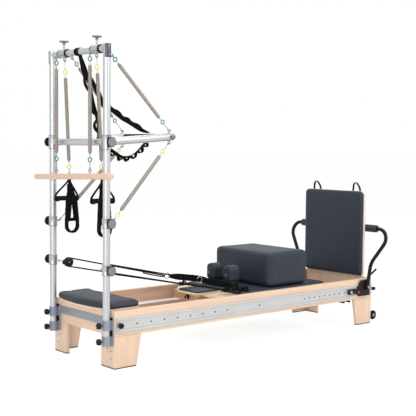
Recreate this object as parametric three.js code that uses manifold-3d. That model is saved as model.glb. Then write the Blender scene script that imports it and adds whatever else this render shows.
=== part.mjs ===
// Pilates tower unit: a wooden reformer frame with a rolling carriage, a steel tower at one end,
// and a jump board and foot bar at the other.
// Millimetres, +Z up. While it is built, X = 0 is the tower end of the frame, +X runs to the foot end,
// near pieces lie at -Y and far pieces at +Y. The last lines move the origin under the middle.
import * as THREE from 'three';
import { mergeVertices } from 'three/addons/utils/BufferGeometryUtils.js';
import Module from 'manifold-3d';

const wasm = await Module();
wasm.setup();

// Driving dimensions
const frameLength = 2380;
const frameWidth = 680;
const railTop = 350;
const railHeight = 153;
const railThickness = 30;
const boardThickness = 23;
const postDiameter = 44;
const postSpacing = 608;
const postSetback = 34;
const postFoot = 144;
const crossbarHeight = 1907;
const postAboveCrossbar = 26;
const postTop = crossbarHeight + postAboveCrossbar;
const crossbarDiameter = 40;
const armHeight = 1358;
const armReach = 534;
const midCollarHeight = 865;
const lowCollarHeight = 600;
const seatGap = 0.3;
const cutOverrun = 5;
const weldDistance = 0.0001;

const halfWidth = frameWidth / 2;
const railInner = halfWidth - railThickness;
const railFoot = railTop - railHeight;
const postRadius = postDiameter / 2;
const postX = -postSetback;
const postY = postSpacing / 2;
const postBore = postRadius + seatGap;
const crossbarRadius = crossbarDiameter / 2;

// Facets: how many sides a round piece has, by its size
const largeSides = 14;
const mediumSides = 12;
const smallSides = 8;
const boltSides = 6;
const wireSides = 4;

const near = { name: 'near', sign: -1 };
const far = { name: 'far', sign: 1 };
const bothSides = [near, far];

const axisX = new THREE.Vector3(1, 0, 0);
const axisY = new THREE.Vector3(0, 1, 0);
const axisZ = new THREE.Vector3(0, 0, 1);
const at = (x, y, z) => new THREE.Vector3(x, y, z);

// Materials, one for each finish of the real object
const finish = (color, roughness, metalness) => new THREE.MeshStandardMaterial({ color, roughness, metalness });
const maple = finish(0xeed2ad, 0.5, 0);
const upholstery = finish(0x4a515d, 0.55, 0);
const aluminium = finish(0xcdd0d4, 0.35, 0.9);
const greyPaint = finish(0x969ba5, 0.45, 0.3);
const springSteel = finish(0x8c786c, 0.4, 0.8);
const blackPlastic = finish(0x141416, 0.5, 0);
const webbing = finish(0x101012, 0.85, 0);
const rubber = finish(0x1c1c1e, 0.8, 0);
const redPlastic = finish(0xc2252e, 0.4, 0);

const unit = new THREE.Group();

function piece(name, geometry, material, position = at(0, 0, 0)) {
  const mesh = new THREE.Mesh(toGeometry(toSolid(geometry)), material);
  mesh.name = name;
  mesh.position.copy(position);
  unit.add(mesh);
  return mesh;
}

// Joining and cutting
function toSolid(geometry) {
  const bare = geometry.clone();
  for (const name of Object.keys(bare.attributes)) {
    if (name !== 'position') bare.deleteAttribute(name);
  }
  const merged = mergeVertices(bare, weldDistance);
  const vertices = merged.attributes.position.array;
  const corners = merged.index.array;
  const triangles = [];
  let volume = 0;
  for (let i = 0; i < corners.length; i += 3) {
    const [a, b, c] = [corners[i], corners[i + 1], corners[i + 2]];
    if (a === b || b === c || c === a) continue;
    triangles.push(a, b, c);
    const [p, q, r] = [a, b, c].map((k) => at(vertices[3 * k], vertices[3 * k + 1], vertices[3 * k + 2]));
    volume += p.dot(q.cross(r));
  }
  if (volume < 0) triangles.reverse();
  const mesh = new wasm.Mesh({
    numProp: 3,
    vertProperties: Float32Array.from(vertices),
    triVerts: Uint32Array.from(triangles),
  });
  return new wasm.Manifold(mesh);
}

function toGeometry(solid) {
  const mesh = solid.getMesh();
  const geometry = new THREE.BufferGeometry();
  geometry.setAttribute('position', new THREE.BufferAttribute(Float32Array.from(mesh.vertProperties), 3));
  geometry.setIndex(new THREE.BufferAttribute(Uint32Array.from(mesh.triVerts), 1));
  geometry.computeVertexNormals();
  return geometry;
}

function join(...parts) {
  return toGeometry(parts.map(toSolid).reduce((whole, part) => whole.add(part)));
}

function cut(body, ...tools) {
  return toGeometry(tools.map(toSolid).reduce((whole, tool) => whole.subtract(tool), toSolid(body)));
}

// Basic forms
function block([x0, x1], [y0, y1], [z0, z1]) {
  const box = new THREE.BoxGeometry(Math.abs(x1 - x0), Math.abs(y1 - y0), Math.abs(z1 - z0));
  return box.translate((x0 + x1) / 2, (y0 + y1) / 2, (z0 + z1) / 2);
}

function aimed(geometry, from, towards) {
  const turn = new THREE.Quaternion().setFromUnitVectors(axisY, towards.clone().sub(from).normalize());
  return geometry.applyQuaternion(turn).translate(from.x, from.y, from.z);
}

function rod(from, to, radius, sides) {
  const length = from.distanceTo(to);
  const bar = new THREE.CylinderGeometry(radius, radius, length, sides);
  return aimed(bar.translate(0, length / 2, 0), from, to);
}

// A turned form: its profile is a list of [radius, distance along the axis from `from`].
function turned(profile, from, towards, sides) {
  const points = profile.map(([radius, along]) => new THREE.Vector2(radius, along));
  return aimed(new THREE.LatheGeometry(points, sides), from, towards);
}

function ring(centre, normal, major, minor, around = smallSides, across = wireSides) {
  const torus = new THREE.TorusGeometry(major, minor, across, around);
  const turn = new THREE.Quaternion().setFromUnitVectors(axisZ, normal.clone().normalize());
  return torus.applyQuaternion(turn).translate(centre.x, centre.y, centre.z);
}

const outline = (points) => new THREE.Shape(points.map(([u, v]) => new THREE.Vector2(u, v)));

// Extrudes an outline between two levels, its edges eased where `ease` is given.
function extruded(shape, depth, ease, curveSegments) {
  return new THREE.ExtrudeGeometry(shape, {
    depth: depth - 2 * ease,
    bevelEnabled: ease > 0,
    bevelThickness: ease,
    bevelSize: ease,
    bevelOffset: -ease,
    bevelSegments: 1,
    curveSegments,
  }).translate(0, 0, ease);
}

// The outline is drawn in (y, z), (x, z) or (x, y), as its direction leaves free.
function alongX(shape, x0, x1, ease = 0, curveSegments = 4) {
  const form = extruded(shape, x1 - x0, ease, curveSegments);
  return form.applyMatrix4(new THREE.Matrix4().makeBasis(axisY, axisZ, axisX)).translate(x0, 0, 0);
}

function alongY(shape, y0, y1, ease = 0, curveSegments = 4) {
  const form = extruded(shape, y1 - y0, ease, curveSegments);
  const down = axisY.clone().negate();
  return form.applyMatrix4(new THREE.Matrix4().makeBasis(axisX, axisZ, down)).translate(0, y1, 0);
}

function alongZ(shape, z0, z1, ease = 0, curveSegments = 4) {
  return extruded(shape, z1 - z0, ease, curveSegments).translate(0, 0, z0);
}

function rectangle(u0, u1, v0, v1) {
  return outline([[u0, v0], [u1, v0], [u1, v1], [u0, v1]]);
}

// A closed skin over rings of points that match, with a flat fan over each end.
function loft(rings) {
  const count = rings[0].length;
  const vertices = rings.flat();
  const middle = (points) => points.reduce((sum, p) => sum.add(p), at(0, 0, 0)).divideScalar(count);
  const first = vertices.push(middle(rings[0])) - 1;
  const last = vertices.push(middle(rings[rings.length - 1])) - 1;
  const index = [];
  for (let level = 0; level < rings.length - 1; level++) {
    for (let i = 0; i < count; i++) {
      const a = level * count + i;
      const b = level * count + (i + 1) % count;
      index.push(a, b, b + count, a, b + count, a + count);
    }
  }
  for (let i = 0; i < count; i++) {
    const next = (i + 1) % count;
    const top = (rings.length - 1) * count;
    index.push(first, next, i, last, top + i, top + next);
  }
  return new THREE.BufferGeometry().setFromPoints(vertices).setIndex(index);
}

// The corners of a rectangle about the origin, each rounded in the given number of steps.
function roundedCorners(halfU, halfV, radius, steps) {
  const points = [];
  const quarters = [[1, 1], [-1, 1], [-1, -1], [1, -1]];
  quarters.forEach(([signU, signV], quarter) => {
    for (let step = 0; step <= steps; step++) {
      const angle = (quarter + step / steps) * Math.PI / 2;
      const u = signU * (halfU - radius) + radius * Math.cos(angle);
      const v = signV * (halfV - radius) + radius * Math.sin(angle);
      points.push([u, v]);
    }
  });
  return points;
}

// A pad on a rectangular base: each level is [inset from the full outline, height].
function pad(halfU, halfV, corner, levels, place, steps = 3) {
  return loft(levels.map(([inset, height]) => {
    const radius = Math.max(corner - inset, corner / 3);
    const points = roundedCorners(halfU - inset, halfV - inset, radius, steps);
    return points.map(([u, v]) => place(u, v, height));
  }));
}

// A route whose stations are given, so that a straight run needs only its two ends.
class Route extends THREE.Curve {
  constructor(stations) {
    super();
    this.stations = stations;
  }

  getPoint(share) {
    const place = share * (this.stations.length - 1);
    const index = Math.min(Math.floor(place), this.stations.length - 2);
    return at(0, 0, 0).lerpVectors(this.stations[index], this.stations[index + 1], place - index);
  }

  getPointAt(share) {
    return this.getPoint(share);
  }

  getTangentAt(share) {
    const last = this.stations.length - 1;
    const index = Math.round(share * last);
    const here = this.stations[index];
    const before = this.stations[Math.max(index - 1, 0)];
    const after = this.stations[Math.min(index + 1, last)];
    const arriving = here.clone().sub(before).normalize();
    const leaving = after.clone().sub(here).normalize();
    return arriving.add(leaving).normalize();
  }
}

function tube(stations, radius, sides) {
  const section = [];
  for (let i = 0; i < sides; i++) {
    const angle = 2 * Math.PI * i / sides;
    section.push([radius * Math.cos(angle), radius * Math.sin(angle)]);
  }
  const settings = { steps: stations.length - 1, extrudePath: new Route(stations) };
  return new THREE.ExtrudeGeometry(outline(section), settings);
}

// Stations through corner points, each inner corner rounded by an arc.
function bent(corners, radii, steps) {
  const stations = [corners[0]];
  for (let i = 1; i < corners.length - 1; i++) {
    const radius = radii[i - 1];
    const back = corners[i - 1].clone().sub(corners[i]).normalize();
    const ahead = corners[i + 1].clone().sub(corners[i]).normalize();
    const half = back.angleTo(ahead) / 2;
    const bisector = back.clone().add(ahead).normalize();
    const centre = corners[i].clone().addScaledVector(bisector, radius / Math.sin(half));
    const start = corners[i].clone().addScaledVector(back, radius / Math.tan(half)).sub(centre);
    const axis = ahead.clone().cross(back).normalize();
    for (let step = 0; step <= steps; step++) {
      const turn = (Math.PI - 2 * half) * step / steps;
      stations.push(start.clone().applyAxisAngle(axis, turn).add(centre));
    }
  }
  stations.push(corners[corners.length - 1]);
  return stations;
}

// A flat strap through its points, its width lying along one direction.
function strap(points, across, width, thickness) {
  return loft(points.map((point, i) => {
    const before = points[Math.max(i - 1, 0)];
    const after = points[Math.min(i + 1, points.length - 1)];
    const along = after.clone().sub(before).normalize();
    const side = across.clone().multiplyScalar(width / 2);
    const up = along.cross(across).normalize().multiplyScalar(thickness / 2);
    return [
      point.clone().sub(side).sub(up),
      point.clone().add(side).sub(up),
      point.clone().add(side).add(up),
      point.clone().sub(side).add(up),
    ];
  }));
}

// A hand knob with lobes, its stem reaching back to `from`.
function starKnob(from, towards, stemLength, radius, height, stemRadius) {
  const lobes = 5;
  const waistShare = 0.7;
  const lobeShare = 0.35;
  const points = [];
  for (let i = 0; i < 2 * lobes; i++) {
    const isWaist = i % 2 === 1;
    const reach = isWaist ? radius * waistShare : radius;
    for (const turn of isWaist ? [i] : [i - lobeShare, i + lobeShare]) {
      const angle = Math.PI * turn / lobes;
      points.push([reach * Math.cos(angle), reach * Math.sin(angle)]);
    }
  }
  const head = extruded(outline(points), height, 0, 1);
  head.applyMatrix4(new THREE.Matrix4().makeBasis(axisX, axisZ.clone().negate(), axisY));
  const stem = rod(from, from.clone().addScaledVector(towards, stemLength + height / 2), stemRadius, boltSides);
  return join(aimed(head.translate(0, stemLength, 0), from, from.clone().add(towards)), stem);
}

function discKnob(from, towards, stemLength, radius, height, stemRadius) {
  const ease = height / 5;
  const profile = [
    [0, 0], [stemRadius, 0], [stemRadius, stemLength], [radius, stemLength],
    [radius, stemLength + height - ease], [radius - ease, stemLength + height], [0, stemLength + height],
  ];
  return turned(profile, from, from.clone().add(towards), mediumSides);
}

// Eyebolts and the loops that link through them
const eyeMajor = 9;
const eyeMinor = 3;
const loopMajor = 8;
const loopMinor = 2;
const linkSlack = 1;

const unitTowards = (from, to) => to.clone().sub(from).normalize();

// The ring of an eyebolt lies in the plane of the pull and of the direction square to `flat`.
function eyeLink(centre, pull, flat) {
  const normal = flat.clone().addScaledVector(pull, -flat.dot(pull)).normalize();
  return { centre, normal, major: eyeMajor, minor: eyeMinor };
}

// A loop that passes through a link and is pulled along `pull`.
function linkThrough(link, pull) {
  const reach = link.major - link.minor - linkSlack - loopMinor + loopMajor;
  return {
    centre: link.centre.clone().addScaledVector(pull, reach),
    normal: pull.clone().cross(link.normal).normalize(),
    major: loopMajor,
    minor: loopMinor,
  };
}

const linkRing = (link) => ring(link.centre, link.normal, link.major, link.minor);

// An eyebolt: a shank from its root to its ring.
function eyebolt(root, link) {
  const rim = link.centre.clone().addScaledVector(unitTowards(link.centre, root), link.major);
  return join(rod(root, rim, link.minor, boltSides), linkRing(link));
}

// Side rails, each with the ledge that the carriage wheels run on and the stop that ends their run
const edgeEase = 3;
const ledgeReach = 22;
const ledgeDrop = 95;
const ledgeThickness = 15;
const ledgeTop = railTop - ledgeDrop;
const wheelRadius = 22;
const frontAxleSetback = 1370;
const frontAxleX = frameLength - frontAxleSetback;
const rearAxleSetback = 580;
const rearAxleX = frameLength - rearAxleSetback;
const stopLength = 26;
const stopHeight = 20;
const stopX = rearAxleX + wheelRadius + 2;

for (const side of bothSides) {
  const s = side.sign;
  const section = outline([
    [s * halfWidth, railFoot + edgeEase],
    [s * halfWidth, railTop - edgeEase],
    [s * (halfWidth - edgeEase), railTop],
    [s * (railInner + edgeEase), railTop],
    [s * railInner, railTop - edgeEase],
    [s * railInner, railFoot],
    [s * (halfWidth - edgeEase), railFoot],
  ]);
  const ledge = block(
    [boardThickness + seatGap, frameLength - boardThickness - seatGap],
    [s * (railInner - ledgeReach), s * (railInner + edgeEase)],
    [ledgeTop - ledgeThickness, ledgeTop],
  );
  const stop = block(
    [stopX, stopX + stopLength],
    [s * (railInner - ledgeReach), s * (railInner + edgeEase)],
    [ledgeTop - edgeEase, ledgeTop + stopHeight],
  );
  piece(`${side.name}_side_rail`, join(alongX(section, 0, frameLength), ledge, stop), maple);
}

// End boards between the rails
const endBoardHalf = railInner - seatGap;
const platformFoot = railTop - 5;

function endBoard(height) {
  const face = rectangle(-endBoardHalf, endBoardHalf, 0, height);
  return alongX(face, 0, boardThickness, edgeEase);
}

piece('tower_end_board', endBoard(platformFoot - railFoot), maple, at(0, 0, railFoot));
piece('foot_end_board', endBoard(railHeight), maple, at(frameLength - boardThickness, 0, railFoot));

// Legs: an end-face board and a tapered side board, on a rubber sole
const legFaceWidth = 143;
const legSideFoot = 164;
const legSideTop = 200;
const soleThickness = 6;
const soleInset = 2;
const legTop = railFoot - seatGap;
const transportRadius = 35;
const transportWidth = 24;
const transportHub = 13;
const transportPin = 5;
const transportReach = transportRadius + 4;
const transportHeight = 55;
const transportY = halfWidth - transportWidth / 2;
const wheelBracket = 5;
const wheelBracketHalf = 14;
const pinHead = 9;

// The bracket and pin that carry a transport wheel on a foot leg
function wheelCarrier(s) {
  const inner = transportY - transportWidth / 2 - seatGap;
  const outer = transportY + transportWidth / 2 + seatGap;
  const along = (y) => at(transportReach, s * y, transportHeight);
  return [
    block([-edgeEase, transportReach + wheelBracketHalf], [s * (inner - wheelBracket), s * inner],
      [transportHeight - wheelBracketHalf, transportHeight + wheelBracketHalf]),
    rod(along(inner - wheelBracket / 2), along(outer + edgeEase / 2), transportPin, smallSides),
    rod(along(outer), along(outer + edgeEase), pinHead, smallSides),
  ];
}

for (const side of bothSides) {
  for (const end of [{ name: 'tower', x: 0, sign: 1 }, { name: 'foot', x: frameLength, sign: -1 }]) {
    const s = side.sign;
    const e = end.sign;
    const faceInner = s * (halfWidth - legFaceWidth);
    const sideInner = s * (halfWidth - boardThickness);
    const face = alongX(
      rectangle(Math.min(faceInner, s * halfWidth), Math.max(faceInner, s * halfWidth), soleThickness, legTop),
      Math.min(0, e * boardThickness), Math.max(0, e * boardThickness), edgeEase,
    );
    const flank = alongY(
      outline([
        [e * edgeEase, soleThickness], [e * legSideFoot, soleThickness],
        [e * legSideTop, legTop], [e * edgeEase, legTop],
      ]),
      Math.min(sideInner, s * halfWidth), Math.max(sideInner, s * halfWidth), edgeEase,
    );
    const sole = alongZ(
      outline([
        [e * soleInset, s * (halfWidth - soleInset)],
        [e * (legSideFoot - soleInset), s * (halfWidth - soleInset)],
        [e * (legSideFoot - soleInset), s * (halfWidth - boardThickness + soleInset)],
        [e * (boardThickness - soleInset), s * (halfWidth - boardThickness + soleInset)],
        [e * (boardThickness - soleInset), s * (halfWidth - legFaceWidth + soleInset)],
        [e * soleInset, s * (halfWidth - legFaceWidth + soleInset)],
      ]),
      0, 2 * soleThickness,
    );
    const carrier = end.x ? wheelCarrier(s) : [];
    piece(`${side.name}_${end.name}_leg`, join(face, flank, sole, ...carrier), maple, at(end.x, 0, 0));
  }
}

// Outer tracks: a grooved aluminium channel with rows of holes, an end knob and a star knob
const trackInner = halfWidth + seatGap;
const trackDepth = 10;
const trackFloor = 5;
const trackLip = 12;
const trackRib = 3;
const trackHeight = 86;
const trackCentre = railTop - 86;
const trackStart = 10;
const trackEnd = frameLength - 5;
const trackOuter = trackInner + trackDepth;
const holeRadius = 4.5;
const holeSides = 4;
const towerHoleStart = 161;
const towerHoleSpacing = 104.6;
const towerHoleCount = 8;
const middleHoleSetback = 1191;
const middleHole = frameLength - middleHoleSetback;
const footHoleSetback = 751;
const footHoleStart = frameLength - footHoleSetback;
const footHoleSpacing = 53.6;
const footHoleCount = 9;
const starKnobRadius = 25;
const starKnobHeight = 14;
const knobStemRadius = 6;
const trackKnobX = 35;
const endKnobRadius = 13.5;
const endKnobLength = 38;

const holePlaces = [middleHole];
for (let i = 0; i < towerHoleCount; i++) holePlaces.push(towerHoleStart + i * towerHoleSpacing);
for (let i = 0; i < footHoleCount; i++) holePlaces.push(footHoleStart + i * footHoleSpacing);

for (const side of bothSides) {
  const s = side.sign;
  const low = trackCentre - trackHeight / 2;
  const high = trackCentre + trackHeight / 2;
  const ribLow = trackCentre - trackHeight / 4;
  const ribHigh = trackCentre + trackHeight / 4;
  const floor = trackInner + trackFloor;
  const rib = floor + trackRib;
  const section = outline([
    [s * trackInner, low], [s * trackOuter, low], [s * trackOuter, low + trackLip],
    [s * floor, low + trackLip], [s * floor, ribLow - trackRib], [s * rib, ribLow], [s * rib, ribHigh],
    [s * floor, ribHigh + trackRib], [s * floor, high - trackLip], [s * trackOuter, high - trackLip],
    [s * trackOuter, high], [s * trackInner, high],
  ]);
  const holes = holePlaces.map((x) => rod(
    at(x, s * (trackInner - cutOverrun), trackCentre),
    at(x, s * (trackOuter + cutOverrun), trackCentre),
    holeRadius, holeSides,
  ));
  const channel = cut(alongX(section, trackStart, trackEnd), ...holes);
  const star = starKnob(
    at(trackKnobX, s * floor, trackCentre), at(0, s, 0), trackDepth, starKnobRadius, starKnobHeight, knobStemRadius,
  );
  const endCentre = at(trackEnd - trackLip, s * (trackInner + trackFloor), trackCentre);
  const endStem = trackLip + frameLength - trackEnd + edgeEase;
  const endKnob = discKnob(endCentre, axisX, endStem, endKnobRadius, endKnobLength - edgeEase, trackFloor - seatGap);
  piece(`${side.name}_outer_track`, join(channel, star, endKnob), aluminium);
}

// Transport wheels, each on the pin of its foot leg's bracket
function transportWheel() {
  const half = transportWidth / 2;
  const bore = transportPin + 2 * seatGap;
  const profile = [
    [bore, -half], [transportHub, -half], [transportHub, edgeEase - half], [transportRadius, edgeEase - half],
    [transportRadius, half - edgeEase], [transportHub, half - edgeEase], [transportHub, half], [bore, half],
    [bore, -half],
  ];
  return turned(profile, at(0, 0, 0), axisY, mediumSides);
}

for (const side of bothSides) {
  const place = at(frameLength + transportReach, side.sign * transportY, transportHeight);
  piece(`${side.name}_transport_wheel`, transportWheel(), rubber, place);
}

// Platform at the tower end: a board with a crowned pad, bowed outwards between the posts
const platformHalf = 305;
const platformEnd = 230;
const platformBow = 46;
const platformFront = -52;
const platformBoard = 12;
const platformPad = 35;
const platformCrown = 6;
const platformCorner = 40;
const padLip = 4;

function platformRing(inset, height) {
  const points = [];
  const half = platformHalf - inset;
  const stretches = 8;
  for (let i = 0; i <= stretches; i++) {
    const share = 2 * i / stretches - 1;
    points.push(at(platformFront + inset + platformBow * share * share, -share * half, height));
  }
  const corner = Math.max(platformCorner - inset, platformCorner / 4);
  const steps = 3;
  for (const [from, signY] of [[-1, -1], [0, 1]]) {
    for (let step = 0; step <= steps; step++) {
      const angle = (from + step / steps) * Math.PI / 2;
      const x = platformEnd - inset - corner + corner * Math.cos(angle);
      points.push(at(x, signY * (half - corner) + corner * Math.sin(angle), height));
    }
  }
  return points;
}

const padFoot = platformFoot + platformBoard;
const padTop = padFoot + platformPad;
piece('platform_pad', loft([
  platformRing(2 * padLip, platformFoot + seatGap),
  platformRing(padLip, padFoot),
  platformRing(0, padFoot + padLip),
  platformRing(0, padTop - 4 * padLip),
  platformRing(padLip, padTop - 2 * padLip),
  platformRing(4 * padLip, padTop),
  platformRing(20 * padLip, padTop + platformCrown),
]), upholstery);

// Spring bar under the rails: a channel with an upstand that is notched for the spring hooks
const springBarSetback = 285;
const springBarX = frameLength - springBarSetback;
const springBarWidth = 70;
const springBarHalf = 318;
const springBarDrop = 21;
const springBarWall = 6;
const upstandTop = 270;
const upstandHalf = 284;
const springCount = 5;
const springSpacing = 90;
const notchWidth = 10;
const notchDepth = 14;

const springPlaces = [];
for (let i = 0; i < springCount; i++) springPlaces.push((i - (springCount - 1) / 2) * springSpacing);

const barTop = railFoot - seatGap;
const barFoot = barTop - springBarDrop;
const barEnd = springBarX + springBarWidth;
const upstand = block([springBarX, springBarX + springBarWall], [-upstandHalf, upstandHalf], [barFoot, upstandTop]);
const notches = springPlaces.map((y) => block(
  [springBarX - cutOverrun, springBarX + springBarWall + cutOverrun],
  [y - notchWidth / 2, y + notchWidth / 2],
  [upstandTop - notchDepth, upstandTop + cutOverrun],
));
const channelSection = outline([
  [springBarX, barFoot], [springBarX + springBarWall, barFoot], [springBarX + springBarWall, barTop - springBarWall],
  [barEnd - springBarWall, barTop - springBarWall], [barEnd - springBarWall, barFoot], [barEnd, barFoot],
  [barEnd, barTop], [springBarX, barTop],
]);
piece('spring_bar', join(
  alongY(channelSection, -springBarHalf, springBarHalf),
  cut(upstand, ...notches),
), blackPlastic);

// Tower bracket: two plates and a cross bar on the end of the frame, with clamp sleeves round the posts
const bracketPlate = 6;
const bracketInner = 262;
const bracketOuter = 337;
const bracketFoot = 146;
const bracketTop = 312;
const bracketBarFoot = 257;
const bracketBarTop = 305;
const stripHalf = 25;
const sleeveWall = 4.5;
const sleeveHeight = 61;
const sleeveHeights = [172, 268];
const clampKnobRadius = 20;
const clampKnobHeight = 20;
const clampStem = 17;

const bracketX = -seatGap;
const bracketParts = [
  block([bracketX - bracketPlate, bracketX], [-bracketInner - edgeEase, bracketInner + edgeEase],
    [bracketBarFoot, bracketBarTop]),
];
for (const side of bothSides) {
  const s = side.sign;
  const plate = rectangle(
    Math.min(s * bracketInner, s * bracketOuter), Math.max(s * bracketInner, s * bracketOuter),
    bracketFoot, bracketTop,
  );
  bracketParts.push(alongX(plate, bracketX - bracketPlate, bracketX));
  bracketParts.push(block(
    [postX + postBore, bracketX - bracketPlate + edgeEase],
    [s * postY - stripHalf, s * postY + stripHalf],
    [bracketFoot, bracketTop],
  ));
  for (const height of sleeveHeights) {
    const outer = postBore + sleeveWall;
    const sleeve = join(
      rod(at(postX, s * postY, height - sleeveHeight / 2), at(postX, s * postY, height + sleeveHeight / 2),
        outer, largeSides),
      block([postX, postX + postBore + edgeEase], [s * postY - outer, s * postY + outer],
        [height - sleeveHeight / 2, height + sleeveHeight / 2]),
    );
    const bore = rod(
      at(postX, s * postY, height - sleeveHeight), at(postX, s * postY, height + sleeveHeight),
      postBore, largeSides,
    );
    const root = at(postX - postBore - sleeveWall / 2, s * (postY - padLip), height);
    const knob = starKnob(root, at(-1, 0, 0), clampStem, clampKnobRadius, clampKnobHeight, knobStemRadius);
    bracketParts.push(join(cut(sleeve, bore), knob));
  }
}
piece('tower_bracket', join(...bracketParts), greyPaint);

// Where the springs, the bar and the handles hang
const hangX = -76;
const frontEyeY = 190;
const frontEyeDrop = 24;
const rearEyeDrop = 36;
const rollBarRadius = 18;
const rollBarEyeRise = 34;
const rollBarFarDrop = 773;
const rollBarNearDrop = 747;
const rollBarFarHeight = crossbarHeight - rollBarFarDrop;
const rollBarNearHeight = crossbarHeight - rollBarNearDrop;
const rollBarFar = 440;
const rollBarNear = 416;
const handleTopDrop = 757;
const handleTopHeight = crossbarHeight - handleTopDrop;
const handleTopX = 15;
const handleTopY = 184;
const armHalf = 255;
const armRadius = 20;
const armRise = 40;
const armEyeSetback = 28;
const armEyeRise = 37;
const crossbarEyeY = 75;
const crossbarEyeDrop = 30;
const postEyeDrop = 65;
const collarEyeReach = 48;
const inwardEyeReach = 76;
const midEyeRise = 12;

const armEndX = postX + armReach;
const armEyeX = armEndX - armEyeSetback;
const armHeightAt = (x) => armHeight + armRise * (x - postX) / armReach;
const rollBarSlope = (rollBarFarHeight - rollBarNearHeight) / (rollBarFar + rollBarNear);
const rollBarHeightAt = (y) => rollBarNearHeight + rollBarSlope * (y + rollBarNear);

// What differs between the two sides of the hanging gear
near.sliderY = -200;
near.rearEyeY = -198;
near.armEyeDrop = 35;
near.midHeight = midCollarHeight + 13;
near.lowHeight = lowCollarHeight - 2;
near.springFoot = at(postX + collarEyeReach, -postY, near.midHeight + midEyeRise);
near.springHead = at(postX + collarEyeReach - midEyeRise, -postY, postTop - postEyeDrop);
far.sliderY = 168;
far.rearEyeY = 160;
far.armEyeDrop = 58;
far.midHeight = midCollarHeight - 14;
far.lowHeight = lowCollarHeight + 3;
far.springFoot = at(postX, postY - inwardEyeReach, far.midHeight + midEyeRise);
far.springHead = at(postX, crossbarEyeY, crossbarHeight - crossbarEyeDrop);
near.footFlat = axisY;
far.footFlat = axisX;
near.handleLead = 68;
near.upperLead = 34;
near.lowerLead = 80;
far.handleLead = 76;
far.upperLead = 57;
far.lowerLead = 45;

// Springs: a close-wound body with drawn-in ends, a colour ring and a loop beyond each end.
// The wire is finer than a facet, so the wound body is shown by its outer form.
const longLead = 34;
const longSpringBody = 530;
const shortSpringBody = 462;
const springRadius = 11;
const springTaper = 16;
const ringStandoff = 33;
const colourMajor = 12.5;
const colourMinor = 3.5;
const linkWire = 2.5;
const colourSides = 8;

// `lead` is the distance from the upper eye to the first colour ring.
const springs = {};
function planSpring(name, head, foot, lead, body, footFlat = axisY) {
  const pull = unitTowards(head, foot);
  springs[name] = { head: eyeLink(head, pull, axisY), foot: eyeLink(foot, pull, footFlat), pull, lead, body };
}

for (const side of bothSides) {
  const s = side.sign;
  const barEye = at(hangX, s * frontEyeY, rollBarHeightAt(s * frontEyeY) + rollBarEyeRise);
  const armEye = at(armEyeX, s * armHalf, armHeightAt(armEyeX));
  const upperEye = armEye.clone().addScaledVector(axisZ, armEyeRise);
  const lowerEye = armEye.clone().addScaledVector(axisZ, -side.armEyeDrop);
  const frontEye = at(hangX, s * frontEyeY, crossbarHeight - frontEyeDrop);
  const rearEye = at(postX, side.rearEyeY, crossbarHeight - rearEyeDrop);
  const handleEye = at(handleTopX, s * handleTopY, handleTopHeight);
  planSpring(`${side.name}_long_spring`, frontEye, barEye, longLead, longSpringBody);
  planSpring(`${side.name}_handle_spring`, rearEye, handleEye, side.handleLead, longSpringBody);
  planSpring(`${side.name}_upper_arm_spring`, side.springHead, upperEye, side.upperLead, shortSpringBody);
  planSpring(`${side.name}_lower_arm_spring`, lowerEye, side.springFoot, side.lowerLead, shortSpringBody, side.footFlat);
}

function springForm({ head, foot, pull, lead, body }) {
  const along = (from, distance) => from.clone().addScaledVector(pull, distance);
  const upperLoop = linkThrough(head, pull);
  const lowerLoop = linkThrough(foot, pull.clone().negate());
  const upperRing = along(head.centre, lead);
  const bodyTop = along(upperRing, ringStandoff);
  const bodyFoot = along(bodyTop, body);
  const lowerRing = along(bodyFoot, ringStandoff);
  const flat = head.normal;
  const stub = ringStandoff - colourMajor;
  const profile = [
    [0, 0], [linkWire, 0], [linkWire, stub], [springRadius, stub + springTaper],
    [springRadius, stub + body - springTaper], [linkWire, stub + body],
    [linkWire, 2 * stub + body], [0, 2 * stub + body],
  ];
  return join(
    linkRing(upperLoop),
    rod(along(upperLoop.centre, loopMajor), along(upperRing, -colourMajor), linkWire, wireSides),
    ring(upperRing, flat, colourMajor, colourMinor, colourSides),
    turned(profile, along(upperRing, colourMajor), bodyFoot, boltSides),
    ring(lowerRing, flat, colourMajor, colourMinor, colourSides),
    rod(along(lowerRing, colourMajor), along(lowerLoop.centre, -loopMajor), linkWire, wireSides),
    linkRing(lowerLoop),
  );
}

for (const [name, plan] of Object.entries(springs)) piece(name, springForm(plan), springSteel);

// Posts, each with the fixing plate of the crossbar on its outer side
const fixingPlateHeight = 81;
const fixingPlateWidth = 20;
const fixingPlateThickness = 4;

for (const side of bothSides) {
  const s = side.sign;
  const reach = [s * (postY + postRadius - fixingPlateThickness / 2), s * (postY + postRadius + fixingPlateThickness)];
  const parts = [
    rod(at(postX, s * postY, postFoot), at(postX, s * postY, postTop), postRadius, largeSides),
    block([postX - fixingPlateWidth / 2, postX + fixingPlateWidth / 2], reach, [postTop - fixingPlateHeight, postTop]),
  ];
  if (side === near) {
    const eye = springs.near_upper_arm_spring.head;
    parts.push(eyebolt(at(postX, eye.centre.y, eye.centre.z), eye));
  }
  piece(`${side.name}_post`, join(...parts), aluminium);
}

// Top crossbar, its ends coped to the posts, with the eye of the far upper spring
const crossbarHalf = postY - postRadius + fixingPlateThickness;
const coped = cut(
  rod(at(postX, -crossbarHalf, crossbarHeight), at(postX, crossbarHalf, crossbarHeight), crossbarRadius, largeSides),
  ...bothSides.map((side) => rod(
    at(postX, side.sign * postY, crossbarHeight - postRadius - cutOverrun),
    at(postX, side.sign * postY, crossbarHeight + postRadius + cutOverrun),
    postBore, largeSides,
  )),
);
const barHook = eyebolt(at(postX, crossbarEyeY, crossbarHeight), springs.far_upper_arm_spring.head);
piece('top_crossbar', join(coped, barHook), aluminium);

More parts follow.
